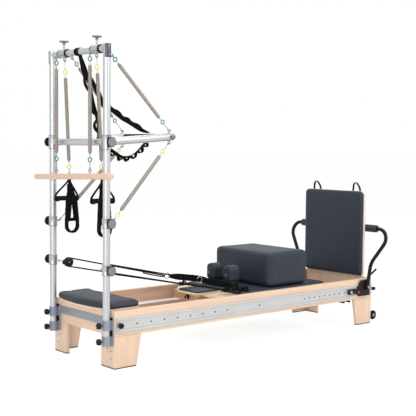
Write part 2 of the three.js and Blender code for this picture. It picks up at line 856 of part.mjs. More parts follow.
// A collar round a tube, centred on a point of its axis
function collar(centre, axis, bore, outer, length) {
  const half = length / 2;
  const profile = [[bore, -half], [outer, -half], [outer, half], [bore, half], [bore, -half]];
  return turned(profile, centre, centre.clone().add(axis), largeSides);
}

// Sliders on the top crossbar, each with its T-knob and two spring eyes
const sliderLength = 85;
const sliderWall = 5.7;
const tKnobRadius = 30;
const tKnobHeight = 18;
const tKnobStem = 35;
const tStemRadius = 6;

for (const side of bothSides) {
  const centre = at(postX, side.sliderY, crossbarHeight);
  const bore = crossbarRadius + seatGap;
  const outer = bore + sliderWall;
  const knobRoot = centre.clone().addScaledVector(axisZ, bore + seatGap);
  const front = springs[`${side.name}_long_spring`].head;
  const rear = springs[`${side.name}_handle_spring`].head;
  const wallPoint = (link) => {
    const level = at(postX, link.centre.y, crossbarHeight);
    return level.clone().addScaledVector(unitTowards(level, link.centre), bore + sliderWall / 2);
  };
  piece(`${side.name}_slider`, join(
    collar(centre, axisY, bore, outer, sliderLength),
    discKnob(knobRoot, axisZ, tKnobStem + sliderWall, tKnobRadius, tKnobHeight, tStemRadius),
    eyebolt(wallPoint(front), front),
    eyebolt(wallPoint(rear), rear),
  ), aluminium);
}

// Main collars on the posts, each with the pivot pin of the push bar and a disc knob
const mainCollarLength = 89;
const mainCollarOuter = 27;
const pivotRadius = 10;
const pivotLength = 22;
const discRadius = 30;
const discHeight = 16;
const discStem = 20;

function postCollar(side, height, outer, length) {
  const s = side.sign;
  const centre = at(postX, s * postY, height);
  const root = centre.clone().addScaledVector(axisY, s * (postBore + seatGap));
  const knob = discKnob(root, at(0, s, 0), discStem, discRadius, discHeight, knobStemRadius);
  return join(collar(centre, axisZ, postBore, outer, length), knob);
}

const collarFace = postY - mainCollarOuter;
for (const side of bothSides) {
  const s = side.sign;
  const pin = rod(
    at(postX, s * (collarFace + seatGap * 2), armHeight), at(postX, s * (collarFace - pivotLength), armHeight),
    pivotRadius, mediumSides,
  );
  const whole = join(postCollar(side, armHeight, mainCollarOuter, mainCollarLength), pin);
  piece(`${side.name}_main_collar`, whole, aluminium);
}

// Push bar: a cross tube on the two pivot pins, an arm at each end, and a foam grip between the arms
const crossTubeRadius = 21.5;
const crossTubeHalf = collarFace - seatGap;
const gripRadius = 20;
const gripSetback = 20;
const armEndCap = 8;
const armBoltRadius = 9;

const gripX = armEndX - gripSetback;
const gripHeight = armHeightAt(gripX);
const pushBarParts = [
  rod(at(postX, -crossTubeHalf, armHeight), at(postX, crossTubeHalf, armHeight), crossTubeRadius, mediumSides),
  rod(at(gripX, -armHalf, gripHeight), at(gripX, armHalf, gripHeight), gripRadius, mediumSides),
];
for (const side of bothSides) {
  const s = side.sign;
  const root = at(postX, s * armHalf, armHeight);
  const tip = at(armEndX, s * armHalf, armHeightAt(armEndX));
  const length = root.distanceTo(tip);
  const profile = [[0, 0], [armRadius, 0], [armRadius, length - armEndCap], [armRadius - armEndCap, length], [0, length]];
  pushBarParts.push(turned(profile, root, tip, mediumSides));
  const bolt = at(gripX, s * armHalf, gripHeight);
  pushBarParts.push(rod(bolt, bolt.clone().addScaledVector(axisY, s * (armRadius + seatGap * 2)), armBoltRadius, boltSides));
  const armEye = at(armEyeX, s * armHalf, armHeightAt(armEyeX));
  pushBarParts.push(eyebolt(armEye, springs[`${side.name}_upper_arm_spring`].foot));
  pushBarParts.push(eyebolt(armEye, springs[`${side.name}_lower_arm_spring`].head));
}
const pivotBores = bothSides.map((side) => rod(
  at(postX, side.sign * (collarFace + cutOverrun), armHeight),
  at(postX, side.sign * (collarFace - pivotLength - seatGap), armHeight),
  pivotRadius + 2 * seatGap, mediumSides,
));
piece('push_bar', cut(join(...pushBarParts), ...pivotBores), aluminium);

// Middle and low collars with their eyebolts, and the rope pulleys that hang from the low ones
const smallCollarLength = 62;
const smallCollarOuter = 27;
const lowEyeReach = 56;

// Where the pulleys hang, and where the ropes end, measured back from the foot end and up from the rails
near.pulley = { x: 24, y: -232, drop: 5 };
near.ropeTip = { setback: 1625, y: -200, rise: 112 };
near.clipTip = { setback: 1374, y: -208, rise: 18 };
far.pulley = { x: 20, y: 205, drop: 8 };
far.ropeTip = { setback: 1652, y: 150, rise: 103 };
far.clipTip = { setback: 1473, y: 150, rise: 28 };

const ropePoint = (tip) => at(frameLength - tip.setback, tip.y, railTop + tip.rise);
for (const side of bothSides) {
  side.pulleyCentre = at(side.pulley.x, side.pulley.y, lowCollarHeight - side.pulley.drop);
  side.ropeEnd = ropePoint(side.ropeTip);
  side.clipEnd = ropePoint(side.clipTip);
}

for (const side of bothSides) {
  const s = side.sign;
  const inner = (reach, height) => at(postX, s * (postY - reach), height);
  const foot = springs[`${side.name}_lower_arm_spring`].foot;
  const centre = at(postX, s * postY, foot.centre.z);
  const root = centre.clone().addScaledVector(unitTowards(centre, foot.centre), postBore + seatGap);
  const middle = [postCollar(side, side.midHeight, smallCollarOuter, smallCollarLength), eyebolt(root, foot)];
  piece(`${side.name}_mid_collar`, join(...middle), aluminium);

  side.plan = at(side.ropeEnd.x - side.pulleyCentre.x, side.ropeEnd.y - side.pulleyCentre.y, 0).normalize();
  const eyeCentre = inner(lowEyeReach, side.lowHeight);
  const pull = unitTowards(eyeCentre, side.pulleyCentre);
  side.lowEye = eyeLink(eyeCentre, pull, axisZ);
  side.shackle = linkThrough(side.lowEye, pull);
  piece(`${side.name}_low_collar`, join(
    postCollar(side, side.lowHeight, smallCollarOuter, smallCollarLength),
    eyebolt(inner(postBore + seatGap, side.lowHeight), side.lowEye),
  ), aluminium);
}

// Rope pulleys
const ropeRadius = 5;
const ropeBend = 27;
const sheaveRadius = 31;
const sheaveFloor = 21.5;
const sheaveHalf = 9;
const sheaveRim = 1.4;
const sheaveFloorHalf = 3.6;
const sheavePinRadius = 5;
const cheekRadius = 26;
const cheekThickness = 3;
const bridgeInner = 33.5;
const bridgeOuter = 38;
const bridgeHalf = 12;

for (const side of bothSides) {
  const yaw = Math.atan2(side.plan.y, side.plan.x);
  const rim = sheaveHalf - sheaveRim;
  const bore = sheavePinRadius + seatGap;
  const profile = [
    [bore, -sheaveHalf], [sheaveRadius, -sheaveHalf], [sheaveRadius, -rim], [sheaveFloor, -sheaveFloorHalf],
    [sheaveFloor, sheaveFloorHalf], [sheaveRadius, rim], [sheaveRadius, sheaveHalf], [bore, sheaveHalf],
    [bore, -sheaveHalf],
  ];
  const sheave = piece(
    `${side.name}_sheave`, turned(profile, at(0, 0, 0), axisY, largeSides), blackPlastic, side.pulleyCentre,
  );
  sheave.rotation.z = yaw;

  const cheekInner = sheaveHalf + seatGap;
  const cheekOuter = cheekInner + cheekThickness;
  const cheekOutline = new THREE.Shape();
  cheekOutline.moveTo(-bridgeOuter, -bridgeHalf);
  cheekOutline.lineTo(0, -cheekRadius);
  cheekOutline.absarc(0, 0, cheekRadius, -Math.PI / 2, Math.PI / 2, false);
  cheekOutline.lineTo(-bridgeOuter, bridgeHalf);
  const shackleRim = side.shackle.centre.clone().addScaledVector(unitTowards(side.lowEye.centre, side.pulleyCentre), loopMajor);
  const local = (point) => point.clone().sub(side.pulleyCentre).applyAxisAngle(axisZ, -yaw);
  const housing = join(
    alongY(cheekOutline, cheekInner, cheekOuter, 0, 5),
    alongY(cheekOutline, -cheekOuter, -cheekInner, 0, 5),
    block([-bridgeOuter, -bridgeInner], [-cheekOuter, cheekOuter], [-bridgeHalf, bridgeHalf]),
    rod(at(0, -cheekOuter, 0), at(0, cheekOuter, 0), sheavePinRadius, smallSides),
    rod(at((-bridgeInner - bridgeOuter) / 2, 0, 0), local(shackleRim), linkWire, wireSides),
    ring(local(side.shackle.centre), side.shackle.normal.clone().applyAxisAngle(axisZ, -yaw), loopMajor, loopMinor),
  );
  const mesh = piece(`${side.name}_pulley`, housing, blackPlastic, side.pulleyCentre);
  mesh.rotation.z = yaw;
}

// Roll-down bar: a wooden bar with an eyebolt under each long spring
const rollBarEase = 3;
const rollBarFoot = at(hangX, -rollBarNear, rollBarHeightAt(-rollBarNear));
const rollBarHead = at(hangX, rollBarFar, rollBarHeightAt(rollBarFar));
const rollBarLength = rollBarFoot.distanceTo(rollBarHead);
piece('roll_down_bar', join(
  turned([
    [0, 0], [rollBarRadius - rollBarEase, 0], [rollBarRadius, rollBarEase],
    [rollBarRadius, rollBarLength - rollBarEase], [rollBarRadius - rollBarEase, rollBarLength], [0, rollBarLength],
  ], rollBarFoot, rollBarHead, mediumSides),
  ...bothSides.map((side) => {
    const eye = springs[`${side.name}_long_spring`].foot;
    return eyebolt(at(hangX, eye.centre.y, rollBarHeightAt(eye.centre.y)), eye);
  }),
), maple);

// Hanging handles: a padded foot loop and a hand grip on straps, under one eye
const loopTopDrop = 57;
const loopFootDrop = 372;
const loopHalfWidth = 48;
const loopBand = 22;
const loopDepth = 45;
const loopSplit = 290;
const loopShift = 18;
const loopShoulder = 96;
const loopTaper = 14;
const gripDrop = 146;
const gripHalfLength = 78;
const handGripRadius = 15;
const handStrapWidth = 14;
const handStrapThickness = 5;

near.gripShift = 4;
far.gripShift = -21;

function handleLoop() {
  const left = loopShift - loopHalfWidth;
  const right = loopShift + loopHalfWidth;
  const shoulder = -loopTopDrop - loopShoulder;
  const outer = new THREE.Shape();
  outer.moveTo(-loopBand / 2, -loopTopDrop);
  outer.lineTo(left + loopTaper, shoulder);
  outer.lineTo(left, -loopSplit);
  outer.absarc(loopShift, loopHalfWidth - loopFootDrop, loopHalfWidth, Math.PI, 2 * Math.PI, false);
  outer.lineTo(right, -loopSplit);
  outer.lineTo(right - loopTaper, shoulder);
  outer.lineTo(loopBand / 2, -loopTopDrop);
  const inner = loopHalfWidth - loopBand;
  const opening = new THREE.Path();
  opening.moveTo(loopShift - inner, -loopSplit);
  opening.lineTo(loopShift - inner, loopBand + inner - loopFootDrop);
  opening.absarc(loopShift, loopBand + inner - loopFootDrop, inner, Math.PI, 2 * Math.PI, false);
  opening.lineTo(loopShift + inner, -loopSplit);
  outer.holes.push(opening);
  return alongY(outer, -loopDepth / 2, loopDepth / 2);
}

for (const side of bothSides) {
  const eye = springs[`${side.name}_handle_spring`].foot;
  const gripEnd = (end) => at(side.gripShift + end * gripHalfLength, 0, -gripDrop);
  const strapEnd = (end) => at(side.gripShift + end * (gripHalfLength - handStrapThickness), 0, -gripDrop);
  const knot = at(0, 0, -eyeMajor);
  piece(`${side.name}_handle`, join(
    handleLoop(),
    rod(gripEnd(-1), gripEnd(1), handGripRadius, mediumSides),
    strap([knot, strapEnd(-1)], axisY, handStrapWidth, handStrapThickness),
    strap([knot, strapEnd(1)], axisY, handStrapWidth, handStrapThickness),
    rod(knot, at(0, 0, -loopTopDrop - loopBand), 2 * linkWire, boltSides),
    linkRing({ ...eye, centre: at(0, 0, 0) }),
  ), webbing, eye.centre);
}

// Daisy straps from the crossbar to the push bar's grip, with sewn loops
const daisyWidth = 25;
const daisyThickness = 6;
const daisyWrapHalf = 20;
const daisyWrap = 6;

// Each strap hangs from the crossbar in its upper part and follows the push bar in its lower part
const underCrossbar = ([x, drop]) => at(x, 0, crossbarHeight - drop);
const overArms = ([x, rise]) => at(x, 0, armHeight + rise);
const upperDaisy = [
  ...[[-25, 23], [12, 144], [63, 172], [145, 317]].map(underCrossbar),
  ...[[205, 210], [287, 159], [352, 129], [443, 83], [500, 66]].map(overArms),
];
const lowerDaisy = [
  ...[[-22, 23], [30, 144], [71, 307], [108, 423]].map(underCrossbar),
  ...[
    [118, 26], [160, -23], [201, -45], [272, -86], [314, -92],
    [365, -81], [420, -49], [464, -8], [493, 16],
  ].map(overArms),
];
piece('daisy_straps', join(
  collar(at(postX, 0, crossbarHeight), axisY, crossbarRadius + seatGap, crossbarRadius + daisyWrap, 2 * daisyWrapHalf),
  strap(upperDaisy, axisY, daisyWidth, daisyThickness),
  strap(lowerDaisy, axisY, daisyWidth, daisyThickness),
), webbing);

// Carriage frame: a board on two side members and two cross members, with a nose block and its bumper
const axleRadius = 6;
const axleHeight = ledgeTop + seatGap + wheelRadius;
const boardRise = 40.7;
const carriageBoard = 18;
const carriageStartSetback = 1475;
const carriageStart = frameLength - carriageStartSetback;
const carriageEndSetback = 480;
const carriageEnd = frameLength - carriageEndSetback;
const carriageHalf = 300;
const noseHalf = 200;
const noseTaper = 90;
const memberOuter = 280;
const memberInner = 262;
const memberDepth = 56;
const memberStartSetback = 1440;
const memberStart = frameLength - memberStartSetback;
const memberEndSetback = 500;
const memberEnd = frameLength - memberEndSetback;
const crossMember = 20;
const frontMemberSetback = 1430;
const frontMemberX = frameLength - frontMemberSetback;
const hookBarSetback = 630;
const hookBarX = frameLength - hookBarSetback;
const noseBlockSetback = 1500;
const noseBlockStart = frameLength - noseBlockSetback;
const noseBlockHalf = 65;
const noseBlockDepth = 32;
const bumperRadius = 15;
const bumperLength = 24;
const bumperY = 45;
const restPinRadius = 8;
const restSetback = 1219;
const restX = frameLength - restSetback;
const restY = 90;

const boardFoot = axleHeight + boardRise;
const boardTop = boardFoot + carriageBoard - seatGap;
const axlePlaces = { front: frontAxleX, rear: rearAxleX };

const pinHoles = bothSides.map((side) => rod(
  at(restX, side.sign * restY, boardFoot - cutOverrun), at(restX, side.sign * restY, boardTop + cutOverrun),
  restPinRadius + seatGap, smallSides,
));
const carriageBoardForm = alongZ(outline([
  [carriageStart, -noseHalf], [carriageStart + noseTaper, -carriageHalf], [carriageEnd, -carriageHalf],
  [carriageEnd, carriageHalf], [carriageStart + noseTaper, carriageHalf], [carriageStart, noseHalf],
]), boardFoot, boardTop, edgeEase);
const underside = boardFoot + edgeEase;
const carriageParts = [cut(carriageBoardForm, ...pinHoles)];
for (const side of bothSides) {
  const s = side.sign;
  carriageParts.push(cut(
    block([memberStart, memberEnd], [s * memberInner, s * memberOuter], [boardFoot - memberDepth, underside]),
    ...Object.values(axlePlaces).map((x) => rod(
      at(x, s * (memberInner - cutOverrun), axleHeight), at(x, s * (memberOuter + cutOverrun), axleHeight),
      axleRadius + seatGap, mediumSides,
    )),
  ));
}
for (const x of [frontMemberX, hookBarX]) {
  carriageParts.push(block(
    [x - crossMember / 2, x + crossMember / 2], [-memberInner - edgeEase, memberInner + edgeEase],
    [boardFoot - memberDepth, underside],
  ));
}
carriageParts.push(block(
  [noseBlockStart, frontMemberX], [-noseBlockHalf, noseBlockHalf], [boardFoot - noseBlockDepth, underside],
));
const bumperHeight = boardFoot - noseBlockDepth / 2;
carriageParts.push(rod(
  at(noseBlockStart + edgeEase, bumperY, bumperHeight), at(noseBlockStart - bumperLength, bumperY, bumperHeight),
  bumperRadius, mediumSides,
));
piece('carriage_frame', join(...carriageParts), maple);

// Wheel axles: a wheel at each end, turning with its axle in the side members
const wheelWidth = 16;
const wheelGap = 3;
const wheelHub = 10;

function wheelAxle() {
  const outer = railInner - wheelGap;
  const inner = outer - wheelWidth;
  const half = [
    [axleRadius, inner - wheelGap], [wheelHub, inner - wheelGap], [wheelHub, inner], [wheelRadius, inner],
    [wheelRadius, outer], [0, outer],
  ];
  const mirrored = half.map(([radius, along]) => [radius, -along]).reverse();
  return turned([...mirrored, ...half], at(0, 0, 0), axisY, mediumSides);
}

for (const [name, x] of Object.entries(axlePlaces)) {
  piece(`${name}_wheel_axle`, wheelAxle(), blackPlastic, at(x, 0, axleHeight));
}

// Carriage springs, on one hook bar under the board, each with a knob end in a notch of the spring bar
const carriageSpringRadius = 11;
const springNeck = 4;
const carriageSpringTaper = 20;
const hookBarRadius = 6;
const springHeight = upstandTop - notchDepth + springNeck + seatGap;
const hookStart = hookBarX + crossMember / 2 + hookBarRadius + seatGap;
const springRun = springBarX - hookStart;
const springEndLength = 14;
const knobEndRadius = 7;
const knobEndLength = 8;
const tailLength = springRun + springBarWall + seatGap;

piece('carriage_springs', join(
  rod(
    at(hookStart, -springSpacing * springCount / 2, springHeight), at(hookStart, springSpacing * springCount / 2, springHeight),
    hookBarRadius, smallSides,
  ),
  ...springPlaces.map((y) => turned([
    [0, 0], [springNeck, 0], [carriageSpringRadius, 2 * carriageSpringTaper],
    [carriageSpringRadius, springRun - 2 * carriageSpringTaper], [springNeck, springRun - springEndLength],
    [springNeck, tailLength], [knobEndRadius, tailLength], [knobEndRadius, tailLength + knobEndLength],
    [0, tailLength + knobEndLength],
  ], at(hookStart, y, springHeight), at(springBarX, y, springHeight), boltSides)),
), springSteel);

// Carriage pad, with the holes that the shoulder rests' pins pass through
const carriagePadStartSetback = 1314;
const carriagePadStart = frameLength - carriagePadStartSetback;
const carriagePadEndSetback = 475;
const carriagePadEnd = frameLength - carriagePadEndSetback;
const carriagePadThickness = 26;
const padCorner = 24;

const padFloor = boardTop + seatGap;
const padSurface = padFloor + carriagePadThickness;
const padMiddle = (carriagePadStart + carriagePadEnd) / 2;
piece('carriage_pad', cut(
  pad((carriagePadEnd - carriagePadStart) / 2, carriageHalf, padCorner, [
    [padLip, padFloor], [0, padFloor + padLip], [0, padSurface - 2 * padLip],
    [padLip / 2, padSurface - padLip / 2], [2 * padLip, padSurface],
  ], (u, v, height) => at(padMiddle + u, v, height)),
  ...bothSides.map((side) => rod(
    at(restX, side.sign * restY, padFloor - cutOverrun), at(restX, side.sign * restY, padSurface + cutOverrun),
    restPinRadius + seatGap, smallSides,
  )),
), upholstery);

// Headrest, hinged on the edge of the pad
const headrestStartSetback = 1555;
const headrestStart = frameLength - headrestStartSetback;
const headrestEndSetback = 1330;
const headrestEnd = frameLength - headrestEndSetback;
const headrestHalf = 115;
const headrestBoard = 12;
const headrestPad = 13;
const headrestCorner = 30;
const hingeRadius = 4;
const hingeX = headrestEnd + 2 * hingeRadius;

const headrestFloor = boardTop + seatGap;
const hingeHeight = headrestFloor + headrestBoard / 2;
const headrestLine = headrestFloor + headrestBoard;
const headrestMiddle = (headrestStart + headrestEnd) / 2;
piece('headrest', join(
  pad((headrestEnd - headrestStart) / 2, headrestHalf, headrestCorner, [
    [edgeEase, headrestFloor], [0, headrestFloor + edgeEase], [0, headrestLine],
    [padLip / 2, headrestLine], [0, headrestLine + padLip],
    [padLip, headrestLine + headrestPad - padLip / 2], [3 * padLip, headrestLine + headrestPad],
  ], (u, v, height) => at(headrestMiddle + u, v, height)),
  rod(at(hingeX, -headrestHalf, hingeHeight), at(hingeX, headrestHalf, hingeHeight), hingeRadius, smallSides),
  block([headrestEnd - edgeEase, hingeX], [-headrestHalf / 2, headrestHalf / 2],
    [hingeHeight - hingeRadius / 2, hingeHeight + hingeRadius / 2]),
), upholstery);

// Shoulder rests: a block on a base, with a pin into the carriage and a hook on the face
const restHalfLength = 46;
const restHalfWidth = 44;
const restCorner = 16;
const restBaseTop = 43;
const restTop = 153;
const restInset = 8;
const restHookHeight = 83;

for (const side of bothSides) {
  const floor = seatGap;
  const body = pad(restHalfLength, restHalfWidth, restCorner, [
    [restInset, floor], [restInset, restBaseTop], [padLip, restBaseTop], [0, restBaseTop + 2 * padLip],
    [0, restTop - 4 * padLip], [padLip, restTop - 2 * padLip], [3 * padLip, restTop - padLip / 2], [6 * padLip, restTop],
  ], (u, v, height) => at(u, v, height), 2);
  const pin = rod(at(0, 0, boardFoot - padSurface), at(0, 0, restBaseTop), restPinRadius, smallSides);
  const hook = ring(at(-restHalfLength - padLip, 0, restHookHeight), axisY, 2 * padLip, padLip / 2);
  piece(`${side.name}_shoulder_rest`, join(body, pin, hook), upholstery, at(restX, side.sign * restY, padSurface));
}

// Sitting box on the carriage
const boxStartSetback = 1050;
const boxStart = frameLength - boxStartSetback;
const boxEndSetback = 652;
const boxEnd = frameLength - boxEndSetback;
const boxHalf = 292;
const boxTop = 245;
const boxCorner = 20;
piece('sitting_box', pad((boxEnd - boxStart) / 2, boxHalf, boxCorner, [
  [padLip, seatGap], [0, 2 * padLip], [0, boxTop - 5 * padLip], [padLip, boxTop - 2 * padLip],
  [3 * padLip, boxTop - padLip / 2], [15 * padLip, boxTop],
], at), upholstery, at((boxStart + boxEnd) / 2, 0, padSurface));

// Ropes: each runs round its sheave, one strand to a padded strap and one to a clip
const dRingMajor = 22;
const dRingMinor = 3;
const padStrapWidth = 50;
const padStrapThickness = 16;
const clipWidth = 22;
const clipThickness = 8;
near.padEnd = at(1049, -200, 397);
near.tail = [at(1075, -262, 369), at(1141, -292, 367)];
far.padEnd = at(1114, 150, 376);
far.tail = [at(975, 150, 372)];

for (const side of bothSides) {
  const centre = side.pulleyCentre;
  const touch = (target, turn) => {
    const run = at(target.x - centre.x, target.y - centre.y, 0).dot(side.plan);
    const rise = target.z - centre.z;
    return Math.atan2(rise, run) + turn * Math.acos(ropeBend / Math.hypot(run, rise));
  };
  const from = touch(side.ropeEnd, 1);
  const to = touch(side.clipEnd, -1) + 2 * Math.PI;
  const steps = 8;
  const stations = [side.ropeEnd];
  for (let step = 0; step <= steps; step++) {
    const angle = from + (to - from) * step / steps;
    const spot = centre.clone().addScaledVector(side.plan, ropeBend * Math.cos(angle));
    stations.push(spot.addScaledVector(axisZ, ropeBend * Math.sin(angle)));
  }
  stations.push(side.clipEnd);
  const pull = unitTowards(side.ropeEnd, side.padEnd);
  const ringCentre = side.ropeEnd.clone().addScaledVector(pull, dRingMajor);
  const padStart = ringCentre.clone().addScaledVector(pull, dRingMajor);
  piece(`${side.name}_rope`, join(
    tube(stations, ropeRadius, boltSides),
    ring(ringCentre, axisY, dRingMajor, dRingMinor, mediumSides),
    strap([padStart, side.padEnd], axisY, padStrapWidth, padStrapThickness),
    strap([side.clipEnd.clone().addScaledVector(axisX, -clipWidth), side.clipEnd, ...side.tail],
      axisY, clipWidth, clipThickness),
  ), webbing);
}

// Jump board: a wooden backing that drops between the rails, its pad, and two webbing loops on top
const jumpSetback = 80;
const jumpX = frameLength - jumpSetback;
const jumpPad = 28;
const jumpBacking = 18;
const jumpHalf = 297;
const jumpTop = 1011;
const jumpPadFoot = 358;
const jumpFoot = 215;
const jumpCorner = 35;
const jumpHookY = 200;
const jumpHookHalf = 50;
const jumpHookFoot = 262;
const jumpHookThickness = 7;
const jumpHookInset = 6;
const webLoopY = 203;
const webLoopHalf = 33;
const webLoopRise = 66;
const webLoopWidth = 20;
const webLoopThickness = 4;

const jumpMiddle = (jumpTop + jumpPadFoot) / 2;
const backingX = jumpX + jumpPad;
const hookFace = frameLength - boardThickness - seatGap;
const hookSeat = railTop + seatGap;
const jumpParts = [
  pad(jumpHalf, (jumpTop - jumpPadFoot) / 2, jumpCorner, [
    [3 * padLip, jumpX], [padLip, jumpX + padLip / 2], [0, jumpX + 2 * padLip],
    [0, backingX - padLip], [padLip / 2, backingX + padLip / 2],
  ], (u, v, depth) => at(depth, u, jumpMiddle + v)),
  alongX(rectangle(-endBoardHalf + ledgeReach, endBoardHalf - ledgeReach, jumpFoot, jumpMiddle),
    backingX, backingX + jumpBacking, edgeEase),
  alongX(rectangle(-jumpHalf, jumpHalf, jumpPadFoot, jumpTop), backingX, backingX + jumpBacking, edgeEase),
];
for (const side of bothSides) {
  const hookSpan = [side.sign * (jumpHookY - jumpHookHalf), side.sign * (jumpHookY + jumpHookHalf)];
  const hookBack = backingX + jumpBacking - edgeEase;
  jumpParts.push(block([hookBack, hookFace], hookSpan, [jumpHookFoot, hookSeat + jumpHookThickness]));
  jumpParts.push(block([hookBack, frameLength - jumpHookInset], hookSpan, [hookSeat, hookSeat + jumpHookThickness]));
  const y = side.sign * webLoopY;
  const x = backingX + webLoopThickness;
  const points = [
    at(x, y - webLoopHalf, jumpTop - webLoopRise), at(x, y - webLoopHalf, jumpTop + webLoopRise / 5),
    at(x, y - webLoopHalf / 2, jumpTop + webLoopRise * 0.8), at(x, y, jumpTop + webLoopRise),
    at(x, y + webLoopHalf / 2, jumpTop + webLoopRise * 0.8), at(x, y + webLoopHalf, jumpTop + webLoopRise / 5),
    at(x, y + webLoopHalf, jumpTop - webLoopRise),
  ];
  jumpParts.push(strap(points, axisX, webLoopWidth, webLoopThickness));
}
piece('jump_board', join(...jumpParts), upholstery);

// Foot bar sliders on the outer tracks, each with the pivot pin of the foot bar
const footPivotSetback = 88;
const footPivotX = frameLength - footPivotSetback;
const footPivotHeight = 290;
const sliderStartSetback = 180;
const sliderStart = frameLength - sliderStartSetback;
const sliderEndSetback = 40;
const sliderEnd = frameLength - sliderEndSetback;
const sliderFoot = 222;
const sliderTop = 341;
const sliderPlate = 10;
const tongueSetback = 282;
const tongueStart = frameLength - tongueSetback;
const tongueHalf = 19;
const plungerSetback = 268;
const plungerX = frameLength - plungerSetback;
const plungerRadius = 11;
const plungerLength = 20;
const footPinRadius = 9;
const bossRadius = 22;
const bossLength = 28;
const buttonSetback = 175;
const buttonX = frameLength - buttonSetback;
const buttonHeight = 255;
const buttonRadius = 9;
const buttonTravel = 4;
const buttonLength = 12;

const plateInner = trackOuter + seatGap;
const plateOuter = plateInner + sliderPlate;
const bossInner = plateOuter + seatGap;
const bossOuter = bossInner + bossLength;

for (const side of bothSides) {
  const s = side.sign;
  const span = (inner, outer) => [Math.min(s * inner, s * outer), Math.max(s * inner, s * outer)];
  const plate = outline([
    [tongueStart, trackCentre - tongueHalf], [sliderStart, trackCentre - tongueHalf],
    [sliderStart + tongueHalf, sliderFoot], [sliderEnd, sliderFoot], [sliderEnd, sliderTop - tongueHalf],
    [sliderEnd - tongueHalf, sliderTop], [sliderStart + 2 * tongueHalf, sliderTop],
    [sliderStart, trackCentre + tongueHalf], [tongueStart, trackCentre + tongueHalf],
  ]);
  const parts = [
    alongY(plate, ...span(plateInner, plateOuter), 2),
    rod(at(footPivotX, s * (plateOuter - edgeEase), footPivotHeight), at(footPivotX, s * (bossOuter + edgeEase), footPivotHeight),
      footPinRadius, mediumSides),
    rod(at(footPivotX, s * (bossOuter + seatGap), footPivotHeight), at(footPivotX, s * (bossOuter + edgeEase), footPivotHeight),
      footPinRadius + edgeEase, mediumSides),
    rod(at(plungerX, s * (plateOuter - edgeEase), trackCentre), at(plungerX, s * (plateOuter + plungerLength), trackCentre),
      plungerRadius, mediumSides),
  ];
  const pocket = rod(
    at(buttonX, s * (plateOuter - buttonTravel - edgeEase), buttonHeight), at(buttonX, s * (plateOuter + cutOverrun), buttonHeight),
    buttonRadius + seatGap, mediumSides,
  );
  const whole = side === near ? cut(join(...parts), pocket) : join(...parts);
  piece(`${side.name}_footbar_slider`, whole, blackPlastic);
}

// Release button in the near slider
const buttonBack = plateOuter - edgeEase + seatGap;
piece('release_button', turned([
  [0, 0], [buttonRadius, 0], [buttonRadius, buttonLength - edgeEase], [buttonRadius - edgeEase, buttonLength],
  [0, buttonLength],
], at(0, 0, 0), at(0, -1, 0), mediumSides), redPlastic, at(buttonX, -buttonBack, buttonHeight));

// Foot bar: a bent tube between the two pivots, with a foam grip
const footTube = 14;
const footLeanShare = 0.2;
const footTopHeight = 727;
const footKneeHeight = 466;
const footKneeY = 374;
const footCornerY = 545;
const kneeRadius = 140;
const cornerRadius = 76;
const footGripRadius = 28;
const footGripHalf = 386;
const footCapLength = 26;

const footY = bossInner + bossLength / 2;
const footX = (height) => footPivotX + footLeanShare * (height - footPivotHeight);
const footCorners = [
  at(footPivotX, -footY, footPivotHeight),
  at(footX(footKneeHeight), -footKneeY, footKneeHeight),
  at(footX(footTopHeight), -footCornerY, footTopHeight),
  at(footX(footTopHeight), footCornerY, footTopHeight),
  at(footX(footKneeHeight), footKneeY, footKneeHeight),
  at(footPivotX, footY, footPivotHeight),
];
const footStations = bent(footCorners, [kneeRadius, cornerRadius, cornerRadius, kneeRadius], 4);
const footTopX = footX(footTopHeight);
const bosses = bothSides.map((side) => rod(
  at(footPivotX, side.sign * bossInner, footPivotHeight), at(footPivotX, side.sign * bossOuter, footPivotHeight),
  bossRadius, mediumSides,
));
const footBores = bothSides.map((side) => rod(
  at(footPivotX, side.sign * (bossInner - cutOverrun), footPivotHeight),
  at(footPivotX, side.sign * (bossOuter + cutOverrun), footPivotHeight),
  footPinRadius + 2 * seatGap, mediumSides,
));
const gripProfile = [
  [0, -footGripHalf], [footTube + edgeEase, -footGripHalf], [footGripRadius, footCapLength - footGripHalf],
  [footGripRadius, footGripHalf - footCapLength], [footTube + edgeEase, footGripHalf], [0, footGripHalf],
];
piece('footbar', cut(join(
  tube(footStations, footTube, smallSides),
  ...bosses,
  turned(gripProfile, at(footTopX, 0, footTopHeight), at(footTopX, 1, footTopHeight), mediumSides),
), ...footBores), blackPlastic);

// Locking lever on top of the near rail
const leverRadius = 6;
const leverRun = 86;
const leverRise = 50;
const leverBase = 12;
const leverPivotSetback = 14;
const leverPivotX = frameLength - leverPivotSetback;
const leverY = halfWidth - railThickness / 2;
piece('footbar_lever', join(
  rod(at(0, 0, seatGap), at(0, 0, leverBase), leverBase, mediumSides),
  rod(at(0, 0, leverBase / 2), at(leverRun, 0, leverBase / 2 + leverRise), leverRadius, smallSides),
), blackPlastic, at(leverPivotX, -leverY, railTop));

// The origin goes to the middle of the whole, on the floor.
unit.updateMatrixWorld(true);
const bounds = new THREE.Box3().setFromObject(unit, true);
const middleX = (bounds.min.x + bounds.max.x) / 2;
const middleY = (bounds.min.y + bounds.max.y) / 2;
unit.position.set(-middleX, -middleY, -bounds.min.z);
unit.updateMatrixWorld(true);

export default unit;
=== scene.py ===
# %% [markdown]
# # A pilates tower unit
# A wooden frame carries a sprung carriage on wheels. A steel tower stands at one end and a jump board at
# the other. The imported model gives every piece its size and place. This lesson keeps its plain boards and
# remakes the rest with finer forms, each piece on the body that carries it.

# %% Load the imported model
import math

import bpy
from mathutils import Matrix, Vector


